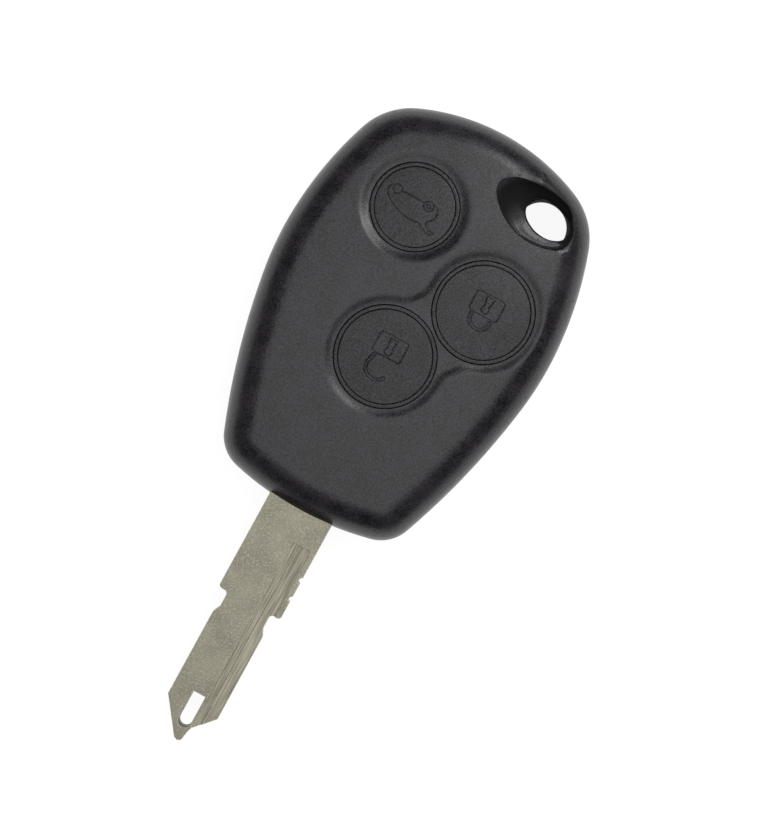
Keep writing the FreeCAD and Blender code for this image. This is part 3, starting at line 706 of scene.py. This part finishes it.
def open_padlock():
    bow_foot = -0.05
    body = rounded_box(left=-1.95, right=1.95, low=bow_foot, high=2.66, radius=0.3)
    bow_middle = (-0.22, -1.75)
    outer_bow = arc(bow_middle, 1.66, 152, 334)
    inner_bow = arc(bow_middle, 1.3, 334, 146)
    bow = [(-1.5, bow_foot)] + outer_bow + inner_bow + [(-1.1, bow_foot)]
    return [body, keyhole(0.04, 0.2), bow]


def smoothed(points, steps=6):
    """A smooth line through the points."""
    ends = [points[0]] + points + [points[-1]]
    line = []
    for a, b, c, d in zip(ends, ends[1:], ends[2:], ends[3:]):
        for i in range(steps):
            t = i / steps
            line.append(
                tuple(
                    0.5
                    * (
                        2 * q
                        + (r - p) * t
                        + (2 * p - 5 * q + 4 * r - s) * t**2
                        + (3 * q - p - 3 * r + s) * t**3
                    )
                    for p, q, r, s in zip(a, b, c, d)
                )
            )
    return line + [points[-1]]


def open_boot_car():
    """A small car seen from the side, its boot lid up; it stands on its roof, as the padlocks do."""
    body = [
        (-3.62, 1.15),
        (-3.98, 0.95),
        (-4.12, 0.35),
        (-3.6, -0.4),
        (-2.5, -1.02),
        (-1.2, -1.5),
        (0.2, -1.68),
        (1.3, -1.55),
        (1.95, -1.98),
        (2.8, -2.25),
        (3.4, -2.08),
        (3.42, -1.86),
        (2.8, -1.83),
        (2.3, -1.5),
        (2.2, -1.0),
        (2.55, -0.62),
        (2.86, -0.1),
        (2.8, 0.75),
        (2.35, 1.22),
        (2.05, 1.3),
    ]
    sill = [(-2.42, 0.98), (-0.8, 1.04), (0.82, 1.0)]
    front_axle, rear_axle = (-3.02, 0.95), (1.45, 0.86)
    front_wheel = arc(front_axle, 0.6, 0, 360, steps=24)
    rear_wheel = arc(rear_axle, 0.64, 0, 360, steps=24)
    rear_hub = arc(rear_axle, 0.26, 0, 360, steps=16)
    return [smoothed(body), sill, front_wheel, rear_wheel, rear_hub]


PICTOGRAMS = {"trunk": open_boot_car, "lock": closed_padlock, "unlock": open_padlock}


def line_distance(points, strokes):
    """How far each point is from the nearest stroke."""
    nearest = np.full(len(points), np.inf)
    for stroke in strokes:
        for a, b in zip(stroke, stroke[1:]):
            start, along = np.array(a), np.subtract(b, a)
            share = np.clip((points - start) @ along / (along @ along), 0, 1)
            away = np.linalg.norm(points - start - share[:, None] * along, axis=1)
            nearest = np.minimum(nearest, away)
    return nearest


# Pieces


class KEY_OT_housing(bpy.types.Operator):
    """Finish the two halves of the moulded head"""

    bl_idname = "remote_key.housing"
    bl_label = "Moulded head"

    def execute(self, context):
        settings = context.scene.key_housing
        plastic = moulded_plastic(settings.colour, settings.grain)
        front = merged_copy("front_shell")
        cut_crown(front, settings.facet)
        depths, low = soften_dishes(front, settings.dish_facet, settings.dish_softness)
        shape_hole(front)
        bmesh.ops.dissolve_degenerate(front, dist=SLIVER * MM, edges=front.edges)
        bevel_seam(front, settings.seam)
        mark_edges(front, HOUSING_SHARP)
        piece = new_piece("front_housing", front, plastic, "shell_plastic", "case", "front_shell")
        mark_scuff_and_shade(piece)
        shade_face(piece, depths, low)
        rear = merged_copy("rear_shell")
        flare_back(rear)
        bevel_seam(rear, settings.seam)
        mark_edges(rear, PLAIN_SHARP)
        piece = new_piece("rear_housing", rear, plastic, "shell_plastic", "case", "rear_shell")
        mark_scuff_and_shade(piece)
        weigh_normals(piece)
        return {"FINISHED"}


def crown_drop(point):
    """How far a point lies below the crowned face, in millimetres."""
    return crown_height(point.x / MM, point.y / MM) - point.z / MM


def cut_evenly(bm, faces, spacing, axes):
    """Cuts faces by evenly spaced planes across each of the axes; returns all that they became."""
    edges = dict.fromkeys(e for f in faces for e in f.edges)
    verts = dict.fromkeys(v for f in faces for v in f.verts)
    geom = [*edges, *verts, *faces]
    places = [v.co / MM for v in verts]
    for axis in axes:
        low = min(place[axis] for place in places)
        high = max(place[axis] for place in places)
        across = Vector((0, 0, 0))
        across[axis] = 1
        for i in range(1, int((high - low) / spacing) + 1):
            plane = across * (low + i * spacing) * MM
            cut = bmesh.ops.bisect_plane(bm, geom=geom, dist=NEW_MERGE * MM, plane_co=plane, plane_no=across)
            geom = cut["geom"]
    return geom


def only(kind, geom):
    """The vertices, edges or faces among a mesh's parts."""
    return [part for part in geom if isinstance(part, kind)]


def cut_crown(bm, facet):
    """Cuts the crowned face's long triangles and lifts the cuts onto the true surface."""
    crown = [f for f in bm.faces if all(abs(crown_drop(v.co)) < CROWN_TOLERANCE for v in f.verts)]
    for vert in only(bmesh.types.BMVert, cut_evenly(bm, crown, facet, (0, 1))):
        vert.co.z = crown_height(vert.co.x / MM, vert.co.y / MM) * MM


def from_rims(points):
    """How far points are outside the dishes' common, rounded outline, in millimetres; less than 0 inside."""
    away = [np.linalg.norm(points - np.array(place), axis=1) - radius for place, radius in DISHES]
    return -DISH_BLEND * np.log(np.sum(np.exp(-np.array(away) / DISH_BLEND), axis=0))


def places_of(parts):
    """Where parts of a mesh lie, seen from above, in millimetres."""
    return np.array([part.xy[:] for part in parts]) / MM


def blurred(depths, width):
    """Blurs a map of depths along both of its sides."""
    reach = int(BLUR_REACH * width / DEPTH_MAP_STEP)
    steps = np.arange(-reach, reach + 1) * DEPTH_MAP_STEP
    weights = np.exp(-((steps / width) ** 2) / 2)
    weights /= weights.sum()
    for _ in range(2):
        padded = np.pad(depths, ((reach, reach), (0, 0)), mode="edge")
        depths = np.array([np.convolve(column, weights, "valid") for column in padded.T])
    return depths


def dish_depths(bm, points):
    """A map of the dishes' depths round the points, their edges drawn as even slopes, and its low corner."""
    low = points.min(axis=0) - DEPTH_MAP_MARGIN
    counts = np.ceil((points.max(axis=0) + DEPTH_MAP_MARGIN - low) / DEPTH_MAP_STEP).astype(int) + 1
    tree = BVHTree.FromBMesh(bm)
    depths = np.zeros(counts)
    for i, j in np.ndindex(*counts):
        x, y = low + np.array((i, j)) * DEPTH_MAP_STEP
        hit = tree.ray_cast(Vector((x * MM, y * MM, FEELER_HEIGHT * MM)), Vector((0, 0, -1)))[0]
        drop = crown_drop(hit) if hit else 0.0
        inside = -from_rims(np.array([(x, y)]))[0]
        in_waist = math.dist((x, y), WAIST_PLACE) < SHELL_WAIST_RADIUS
        if inside > DISH_SLOPE or (drop < DISH_DEPTH + DISH_TOLERANCE and (inside > 0 or in_waist)):
            drop = DISH_DEPTH * clamped(inside / DISH_SLOPE)
        depths[i, j] = drop
    return depths, low


def is_face(face):
    """Whether a mesh face belongs to the head's upward face, its dishes or the start of its rim."""
    drops = [crown_drop(v.co) for v in face.verts]
    return face.normal.z > WALL_CLIMB and FACE_DROPS[0] < min(drops) and max(drops) < FACE_DROPS[1]


def soften_dishes(bm, facet, width):
    """Blurs the dishes' depth, so that their edges are soft and they run together smoothly."""
    upward = [f for f in bm.faces if is_face(f)]
    near = from_rims(places_of([f.calc_center_median() for f in upward])) < DISH_SURROUND
    dished = [f for f, is_near in zip(upward, near) if is_near]
    verts = only(bmesh.types.BMVert, cut_evenly(bm, dished, facet, (0, 1)))
    points = places_of([v.co for v in verts])
    depths, low = dish_depths(bm, points)
    soft = blurred(depths, width)
    weight = np.clip((DISH_SURROUND - from_rims(points)) / (DISH_SURROUND / 2), 0, 1)
    drops = np.array([crown_drop(v.co) for v in verts])
    weight *= np.clip((RIM_KEPT - drops) / (RIM_KEPT - DISH_DEPTH), 0, 1)
    for vert, drop, amount in zip(verts, read_map(soft, low, points), weight):
        softened = (crown_height(vert.co.x / MM, vert.co.y / MM) - float(drop)) * MM
        vert.co.z += (softened - vert.co.z) * float(amount)
    return soft, low


def read_map(values, low, points):
    """Reads a map between its points."""
    cell = np.clip((points - low) / DEPTH_MAP_STEP, 0, np.array(values.shape) - DEPTH_MAP_EDGE)
    corner = cell.astype(int)
    share = cell - corner
    a, b = corner[:, 0], corner[:, 1]
    return (
        values[a, b] * (1 - share[:, 0]) * (1 - share[:, 1])
        + values[a + 1, b] * share[:, 0] * (1 - share[:, 1])
        + values[a, b + 1] * (1 - share[:, 0]) * share[:, 1]
        + values[a + 1, b + 1] * share[:, 0] * share[:, 1]
    )


def shade_face(piece, depths, low):
    """Gives the crowned face and its dishes the true slope of their surface for shading."""
    mesh = piece.data
    points = places_of([vert.co for vert in mesh.vertices])
    drops = read_map(depths, low, points)
    slopes = [read_map(slope, low, points) for slope in np.gradient(depths, DEPTH_MAP_STEP)]
    normals = [(0, 0, 0)] * len(mesh.loops)
    for face in mesh.polygons:
        if face.normal.z < WALL_CLIMB:
            continue
        for corner in face.loop_indices:
            index = mesh.loops[corner].vertex_index
            point = mesh.vertices[index].co
            if abs(crown_drop(point) - drops[index]) < CROWN_TOLERANCE:
                out = point / MM - CROWN_CENTRE
                slope = (out.x / out.z + slopes[0][index], out.y / out.z + slopes[1][index], 1)
                normals[corner] = Vector(slope).normalized()
    mesh.normals_split_custom_set(normals)


def smooth(bm, verts, rounds):
    """Draws points half-way towards their neighbours, some times over."""
    for _ in range(rounds):
        bmesh.ops.smooth_vert(
            bm, verts=verts, factor=0.5, use_axis_x=True, use_axis_y=True, use_axis_z=True
        )


def shape_hole(bm):
    """Narrows the keyring hole to its neck, with a round lip towards the blade, and hollows its long end."""
    axis = Vector(HOLE_PLACE) * MM
    inward = []
    for face in bm.faces:
        middle = face.calc_center_median()
        if in_funnel(middle) and face.normal.xy.dot(middle.xy - axis) < 0 and middle.z > PARTING_HEIGHT * MM:
            inward.append(face)
    finely_cut = cut_evenly(bm, inward, FUNNEL_STEP, (2,))
    finely_cut = cut_evenly(bm, only(bmesh.types.BMFace, finely_cut), FUNNEL_CELL, (0, 1))
    verts = only(bmesh.types.BMVert, finely_cut)
    lip = []
    for vert in verts:
        lip_share = on_lip(vert.co)
        long_end = clamped((along_hole(vert.co) - LONG_END_START) / LONG_END_FADE) * (1 - lip_share)
        swell = NECK_SWELL * near_side(vert.co) - FAR_SWELL * near_side(vert.co, -1)
        swell *= eased(clamped(1 - abs(vert.co.z / MM - NECK_HEIGHT) / NECK_SWELL_REACH))
        vert.co.xy += HOLE_ACROSS * swell * MM
        drop = crown_drop(vert.co)
        raised = (drop - float(np.interp(drop, LIP_BEFORE, LIP_AFTER))) * lip_share
        lowered = (float(np.interp(drop, LONG_END_BEFORE, LONG_END_AFTER)) - drop) * long_end
        vert.co.z += (raised - lowered) * MM
        if lip_share > LIP_LEAST and LIP_DROPS[0] < drop < LIP_DROPS[1]:
            lip.append(vert)
    smooth(bm, [v for v in verts if abs(v.co.z / MM - NECK_HEIGHT) < NECK_ROUNDING_REACH], NECK_ROUNDING)
    smooth(bm, lip, LIP_ROUNDING)


def flare_back(bm):
    """Widens the keyring hole towards the back, as a rounded edge does."""
    axis = Vector(HOLE_PLACE) * MM
    inward = []
    for face in bm.faces:
        out = face.calc_center_median().xy - axis
        if out.length < BACK_REACH * MM and face.normal.xy.dot(out) < 0:
            inward.append(face)
    for vert in only(bmesh.types.BMVert, cut_evenly(bm, inward, BACK_STEP, (2,))):
        share = max(1 - vert.co.z / MM / BACK_FLARE_HEIGHT, 0)
        vert.co.xy += (vert.co.xy - axis).normalized() * BACK_FLARE * share**2 * MM


def in_funnel(point):
    """Whether a point lies within the outline of the funnel round the keyring hole."""
    out = point.xy / MM - Vector(FUNNEL_PLACE)
    along = out.dot(HOLE_ALONG) / FUNNEL_HALF_LENGTH
    return math.hypot(along, out.dot(HOLE_ACROSS) / FUNNEL_HALF_WIDTH) < 1


def along_hole(point):
    """How far a point lies from the keyring hole's middle towards the funnel's long end, in millimetres."""
    return (point.xy / MM - Vector(HOLE_PLACE)).dot(HOLE_ALONG)


def near_side(point, side=1):
    """How far round the hole a point is towards the blade, from 0 to 1; with a side of -1, away from it."""
    across = (point.xy / MM - Vector(HOLE_PLACE)).dot(HOLE_ACROSS)
    return clamped(-side * across / HOLE_HALF_WIDTH) ** 2


def on_lip(point):
    """How much a point belongs to the rounded lip beside the neck, which fades towards the long end."""
    kept = clamped((LIP_END - along_hole(point)) / LIP_FADE)
    return min(near_side(point) * LIP_SPREAD, 1) * eased(kept)


def mark_scuff_and_shade(piece):
    """Says where the keyring hole's walls lie deep enough for keys and rings to scuff them matt, and for
    painted shade to darken their colour.
    """
    axis = Vector(HOLE_PLACE) * MM
    scuff_and_shade = piece.data.attributes.new("scuff_and_shade", "FLOAT", "POINT")
    for vert in piece.data.vertices:
        inward = -vert.normal.xy.dot((vert.co.xy - axis).normalized())
        if in_funnel(vert.co) and inward > SCUFF_AND_SHADE_INWARD:
            # Painted shade: the deeper the wall, the darker, but not on the lip
            scuff_and_shade.data[vert.index].value = clamped(crown_drop(vert.co) / SCUFF_AND_SHADE_DEPTH) * (1 - on_lip(vert.co))


def bevel_seam(bm, width):
    """Breaks the outer edge where the two halves meet, which shows as a fine line round the head."""
    joint = []
    for edge in bm.edges:
        level = all(abs(v.co.z / MM - PARTING_HEIGHT) < PARTING_TOLERANCE for v in edge.verts)
        if level and turns(edge, CORNER) and is_outer(edge):
            joint.append(edge)
    bevel(bm, joint, width, BEVEL_SEGMENTS)


def is_outer(edge):
    """Whether one of an edge's faces is upright and looks away from the head's middle."""
    out = (edge.verts[0].co + edge.verts[1].co).xy / 2 - Vector((0, HEAD_CENTRE_Y * MM))
    upright = [f for f in edge.link_faces if abs(f.normal.z) < WALL_CLIMB]
    return bool(upright) and upright[0].normal.xy.dot(out) > 0


class KEY_OT_button_mat(bpy.types.Operator):
    """Finish the rubber mat with the raised ring round each button"""

    bl_idname = "remote_key.button_mat"
    bl_label = "Button mat"

    def execute(self, context):
        settings = context.scene.key_buttons
        rubber = silicone(settings.colour)
        bm = merged_copy("button_mat")
        swell_rings(bm)
        bevel(bm, [e for e in bm.edges if is_ring_edge(e)], settings.ring_round, RING_SEGMENTS)
        mark_edges(bm, PLAIN_SHARP)
        new_piece("button_rings", bm, rubber, "silicone", "case", "button_mat")
        return {"FINISHED"}


def swell_rings(bm):
    """Widens the raised rings, which soft rubber does when it is pressed into its opening."""
    for place, radius in BUTTONS.values():
        centre = Vector(place) * MM
        for vert in bm.verts:
            out = vert.co.xy - centre
            if abs(out.length / MM - radius) < RING_TOLERANCE:
                vert.co.xy = centre + out.normalized() * (radius + RING_SWELL) * MM


def is_ring_edge(edge):
    """Whether an edge runs round the top of a raised ring, inside or outside."""
    return turns(edge, CORNER) and all(
        abs(crown_drop(v.co) - DISH_DEPTH) < DISH_TOLERANCE for v in edge.verts
    )


class KEY_OT_button_caps(bpy.types.Operator):
    """Make the three domed buttons with their engraved pictograms"""

    bl_idname = "remote_key.button_caps"
    bl_label = "Button caps"

    def execute(self, context):
        settings = context.scene.key_buttons
        rubber = silicone(settings.colour)
        for name, (place, ring_radius) in BUTTONS.items():
            bm = button_cap(name, place, ring_radius - RING_WIDTH - CAP_GAP, settings)
            mark_edges(bm, CAP_SHARP)
            new_piece(name + "_cap", bm, rubber, "silicone", name + "_button", name + "_button")
        return {"FINISHED"}


def button_cap(name, place, radius, settings):
    """A dome with a rounded rim and a post below, its pictogram sunk into the top."""
    top = crown_height(*place, DISH_DEPTH)
    low = top - CAP_THICKNESS
    edge = settings.edge_round
    flat = radius - edge
    rim_drop = CAP_DOME_RADIUS - math.sqrt(CAP_DOME_RADIUS**2 - radius**2)
    wall_foot = low + CAP_SKIRT + rim_drop
    section = [(flat * i / settings.radial_steps, top) for i in range(settings.radial_steps)]
    section += [(flat + x, top - edge + y) for x, y in arc((0, 0), edge, 90, 0, CAP_EDGE_STEPS)]
    section += [(radius, wall_foot), (radius, low)]
    section += [(POST_RADIUS, low), (POST_RADIUS, POST_END), (0, POST_END)]
    bm = bmesh.new()
    turned(bm, section, place, settings.turn_steps)
    apex = Vector((*place, top))
    dome_centre = apex - (apex - CROWN_CENTRE).normalized() * CAP_DOME_RADIUS
    upper = [v for v in bm.verts if v.co.z > (wall_foot + top) / 2 * MM]
    flat_places = np.array([v.co.xy for v in upper]) / MM - np.array(place)
    share = np.clip(line_distance(flat_places, PICTOGRAMS[name]()) / (settings.line_width / 2), 0, 1)
    sunk = settings.line_depth * (0.5 + 0.5 * np.cos(math.pi * share))
    for vert, depth in zip(upper, sunk):
        across = (vert.co.xy / MM - dome_centre.xy).length
        dome = dome_centre.z + math.sqrt(CAP_DOME_RADIUS**2 - across**2)
        vert.co.z += (dome - top - float(depth)) * MM
    return bm


class KEY_OT_button_webs(bpy.types.Operator):
    """Make the rubber webs and the switch domes, which give way when a button is pressed"""

    bl_idname = "remote_key.button_webs"
    bl_label = "Webs and domes"

    def execute(self, context):
        rubber = silicone(context.scene.key_buttons.colour)
        spring = bpy.data.materials["spring_steel_rolled"]
        for name, (place, _) in BUTTONS.items():
            web = merged_copy(name + "_button_web")
            mark_edges(web, PLAIN_SHARP)
            piece = new_piece(name + "_web", web, rubber, "silicone", None, name + "_button_web")
            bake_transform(piece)
            dome = merged_copy(name + "_switch_dome")
            mark_edges(dome, PLAIN_SHARP)
            piece = new_piece(
                name + "_snap_dome", dome, spring, "contact_steel", "case", name + "_switch_dome"
            )
            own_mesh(piece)
        return {"FINISHED"}


class KEY_OT_blade(bpy.types.Operator):
    """Finish the plated blade with its milled steps, its rubbed edges with a painted highlight, and painted
    shade on its slot's walls
    """

    bl_idname = "remote_key.blade"
    bl_label = "Blade"

    def execute(self, context):
        settings = context.scene.key_blade
        nickel = nickel_plate(settings.colour)
        bm = merged_copy("key_blade")
        bmesh.ops.dissolve_limit(
            bm,
            angle_limit=math.radians(BLADE_FLAT),
            use_dissolve_boundaries=False,
            verts=bm.verts,
            edges=bm.edges,
            delimit=set(),
        )
        bevel(bm, [e for e in bm.edges if turns(e, BLADE_CORNER)], settings.edge, BEVEL_SEGMENTS)
        mark_edges(bm, BLADE_SHARP)
        piece = new_piece("plated_blade", bm, nickel, "blade_nickel", "case", "key_blade")
        mark_cuts(piece)
        weigh_normals(piece)
        return {"FINISHED"}


def mark_cuts(piece):
    """Says where the blade is milled, where its edges are rubbed bare and brightened as a painted highlight,
    and which walls of its slot are darkened as painted shade.
    """
    milled = piece.data.attributes.new("milled", "FLOAT", "POINT")
    for vert in piece.data.vertices:
        milled.data[vert.index].value = float(MILLED_LEVELS[0] < vert.co.z / MM < MILLED_LEVELS[1])
    rubbed_and_highlit = piece.data.attributes.new("rubbed_and_highlit", "FLOAT", "FACE")
    painted_slot_shade = piece.data.attributes.new("painted_slot_shade", "FLOAT", "FACE")
    for face in piece.data.polygons:
        # Sloped faces: rubbed bare, and brightened as a painted highlight
        rubbed_and_highlit.data[face.index].value = float(RUBBED_AND_HIGHLIT_SLOPES[0] < face.normal.z < RUBBED_AND_HIGHLIT_SLOPES[1])
        in_slot = (face.center.xy / MM - Vector(TIP_SLOT_PLACE)).length < TIP_SLOT_REACH
        # Upright walls in the slot: darkened as painted shade
        painted_slot_shade.data[face.index].value = float(in_slot and abs(face.normal.z) < RUBBED_AND_HIGHLIT_SLOPES[0])


# What keeps its packed form: nodes and finish of each material, all grains coarser than real, to show
INSIDE = {
    # Solder mask over woven glass: satin green, slightly uneven
    "fibreglass_laminate_green": (
        ("circuit_board",),
        dict(colour=linear("2f5a3a"), roughness=0.35, grain=0.4, bump=0.1, mottle=0.12),
    ),
    # Pressed stainless sheet: bright, with a faint haze from the press
    "stainless_steel_pressed": (
        ("coin_cell", "resonator"),
        dict(colour=linear("c9cac8"), roughness=0.3, grain=0.3, bump=0.08, mottle=0.05, metallic=1.0),
    ),
    # Rolled spring strip: smooth and slightly warm
    "spring_steel_rolled": (
        ("positive_contact", "negative_contact") + tuple(name + "_switch_cover" for name in BUTTONS),
        dict(colour=linear("cdc8bb"), roughness=0.34, grain=0.2, bump=0.1, mottle=0.06, metallic=1.0),
    ),
    # Ferrite pressed from powder and fired: dull brown, finely pitted
    "ferrite_sintered": (
        ("transponder_coil",),
        dict(colour=linear("4a3a30"), roughness=0.5, grain=0.15, bump=0.3, mottle=0.15),
    ),
    # Epoxy with a glass filler, moulded round the chip: dark, matt and very fine
    "epoxy_moulding_compound": (
        ("control_chip",),
        dict(colour=linear("2b2b2d"), roughness=0.55, grain=0.08, bump=0.3, mottle=0.1),
    ),
    # Fired ceramic: tan with a soft sheen
    "ceramic_fired": (
        ("capacitors",),
        dict(colour=linear("b39b78"), roughness=0.4, grain=0.1, bump=0.15, mottle=0.1),
    ),
    # Glass-filled nylon, moulded: dark brown, and rough where its fibres reach the surface
    "nylon_glass_filled": (
        tuple(name + part for name in BUTTONS for part in ("_switch_housing", "_switch_plunger")),
        dict(colour=linear("3a3632"), roughness=0.5, grain=0.12, bump=0.25, mottle=0.1, ior=1.53),
    ),
    # Zinc-plated steel: cool grey and satin, a little cloudy
    "steel_zinc_plated": (
        ("case_screw",),
        dict(colour=linear("b9bbbd"), roughness=0.36, grain=0.15, bump=0.15, mottle=0.08, metallic=1.0),
    ),
}


class KEY_OT_inside(bpy.types.Operator):
    """Give the screw, the board and everything on it their materials"""

    bl_idname = "remote_key.inside"
    bl_label = "Board and cell"

    def execute(self, context):
        for name, (nodes, finish) in INSIDE.items():
            material = grained(name, **finish)
            for cad_name in nodes:
                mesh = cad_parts[cad_name].data
                mesh.materials.clear()
                mesh.materials.append(material)
        return {"FINISHED"}


# Stage


# Nearest and furthest that the camera sees, in metres
CAMERA_REACH = (0.01, 10.0)

# Floor, softboxes and picture
FLOOR_LEVEL = -0.05
FLOOR_SIZE = 4000.0
KEY_LIGHT_PLACE = (80.0, 260.0, 300.0)
KEY_LIGHT_SIZE = 160.0
FILL_LIGHT_PLACE = (18.0, 8.0, 410.0)
FILL_LIGHT_SIZE = 500.0
PICTURE_CENTRE = (4.385, 5.14)
SENSOR_WIDTH = 36.0

# The floor as the object sees it, and as the camera does: its colour and its own light
WHITE = linear("ffffff")
PAPER = linear("f4f4f4")
SEEN_PAPER = linear("8a8a8a")
SEEN_GLOW = 0.91


class KEY_OT_stage(bpy.types.Operator):
    """Set the white floor, the soft lights and the camera above the key"""

    bl_idname = "remote_key.stage"
    bl_label = "Stage"

    def execute(self, context):
        settings = context.scene.key_stage
        context.scene.view_settings.view_transform = "Standard"
        add_floor(context)
        add_surroundings(context, settings.surroundings)
        add_light(context, "end_softbox", KEY_LIGHT_PLACE, KEY_LIGHT_SIZE, settings.key_light)
        add_light(context, "overhead_softbox", FILL_LIGHT_PLACE, FILL_LIGHT_SIZE, settings.fill_light)
        add_camera(context, settings)
        return {"FINISHED"}


def add_floor(context):
    """Matt white paper; towards the camera it shines back most of its white, and keeps a faint shadow."""
    material, tree = new_material("paper_matt_white")
    path = node(tree, "ShaderNodeLightPath", {})
    mirrored = node(
        tree,
        "ShaderNodeMath",
        {0: path.outputs["Is Glossy Ray"], 1: path.outputs["Is Transmission Ray"]},
        operation="MAXIMUM",
    ).outputs[0]
    seen = node(
        tree, "ShaderNodeMath", {0: path.outputs["Is Camera Ray"], 1: mirrored}, operation="MAXIMUM"
    ).outputs[0]
    paper = node(tree, "ShaderNodeBsdfDiffuse", {"Color": PAPER})
    soft_paper = node(tree, "ShaderNodeBsdfDiffuse", {"Color": SEEN_PAPER})
    glow = node(tree, "ShaderNodeEmission", {"Color": WHITE, "Strength": SEEN_GLOW})
    bright = node(tree, "ShaderNodeAddShader", {0: soft_paper.outputs[0], 1: glow.outputs[0]})
    mixed = node(tree, "ShaderNodeMixShader", {0: seen, 1: paper.outputs[0], 2: bright.outputs[0]})
    node(tree, "ShaderNodeOutputMaterial", {"Surface": mixed.outputs[0]})
    bm = bmesh.new()
    bmesh.ops.create_grid(bm, x_segments=1, y_segments=1, size=FLOOR_SIZE / 2 * MM)
    bmesh.ops.translate(bm, verts=bm.verts, vec=(0, 0, FLOOR_LEVEL * MM))
    mesh = bpy.data.meshes.new("paper_floor")
    bm.to_mesh(mesh)
    bm.free()
    mesh.materials.append(material)
    floor = bpy.data.objects.new("paper_floor", mesh)
    context.scene.collection.objects.link(floor)


def add_surroundings(context, strength):
    """A dim even light from all round, as in a dark studio."""
    world = bpy.data.worlds.new("studio")
    context.scene.world = world
    world.use_nodes = True
    tree = world.node_tree
    tree.nodes.clear()
    dim = node(tree, "ShaderNodeBackground", {"Color": WHITE, "Strength": strength})
    node(tree, "ShaderNodeOutputWorld", {"Surface": dim.outputs[0]})


def add_light(context, name, place, size, power):
    """A round softbox that faces the middle of the head."""
    data = bpy.data.lights.new(name, "AREA")
    data.shape = "DISK"
    data.size = size * MM
    data.energy = power
    light = bpy.data.objects.new(name, data)
    light.location = Vector(place) * MM
    target = Vector((0.0, HEAD_CENTRE_Y, PARTING_HEIGHT)) * MM
    light.rotation_euler = (target - light.location).to_track_quat("-Z", "Y").to_euler()
    context.scene.collection.objects.link(light)


def add_camera(context, settings):
    """A camera straight above the picture's centre, turned so that the key lies at its tilt."""
    data = bpy.data.cameras.new("camera_above")
    data.sensor_fit = "HORIZONTAL"
    data.sensor_width = SENSOR_WIDTH
    data.lens = SENSOR_WIDTH * settings.view_distance / settings.view_width
    data.clip_start, data.clip_end = CAMERA_REACH
    camera = bpy.data.objects.new("camera_above", data)
    height = PARTING_HEIGHT + settings.view_distance
    camera.location = Vector((*PICTURE_CENTRE, height)) * MM
    camera.rotation_euler = (0, 0, settings.key_tilt)
    context.scene.collection.objects.link(camera)
    context.scene.camera = camera


# Panel and registration


class KEY_PT_panel(bpy.types.Panel):
    bl_idname = "KEY_PT_panel"
    bl_label = "Remote key"
    bl_space_type = "VIEW_3D"
    bl_region_type = "UI"
    bl_category = "Remote key"

    def draw(self, context):
        for operator, settings in STEPS:
            self.layout.operator(operator.bl_idname)
            if settings:
                group = getattr(context.scene, settings)
                for name in group.bl_rna.properties.keys():
                    if name not in ("rna_type", "name"):
                        self.layout.prop(group, name)


STEPS = (
    (KEY_OT_housing, "key_housing"),
    (KEY_OT_button_mat, "key_buttons"),
    (KEY_OT_button_caps, None),
    (KEY_OT_inside, None),
    (KEY_OT_button_webs, None),
    (KEY_OT_blade, "key_blade"),
    (KEY_OT_stage, "key_stage"),
)
SETTINGS = {
    "key_housing": HousingSettings,
    "key_buttons": ButtonSettings,
    "key_blade": BladeSettings,
    "key_stage": StageSettings,
}


def register():
    for name, group in SETTINGS.items():
        bpy.utils.register_class(group)
        setattr(bpy.types.Scene, name, bpy.props.PointerProperty(type=group))
    for operator, _ in STEPS:
        bpy.utils.register_class(operator)
    bpy.utils.register_class(KEY_PT_panel)


def unregister():
    bpy.utils.unregister_class(KEY_PT_panel)
    for operator, _ in reversed(STEPS):
        bpy.utils.unregister_class(operator)
    for name, group in reversed(SETTINGS.items()):
        delattr(bpy.types.Scene, name)
        bpy.utils.unregister_class(group)


def main():
    register()
    bpy.ops.remote_key.housing()
    bpy.ops.remote_key.button_mat()
    bpy.ops.remote_key.button_caps()
    bpy.ops.remote_key.inside()
    bpy.ops.remote_key.button_webs()
    bpy.ops.remote_key.blade()
    bpy.ops.remote_key.stage()


if __name__ == "__main__":
    main()
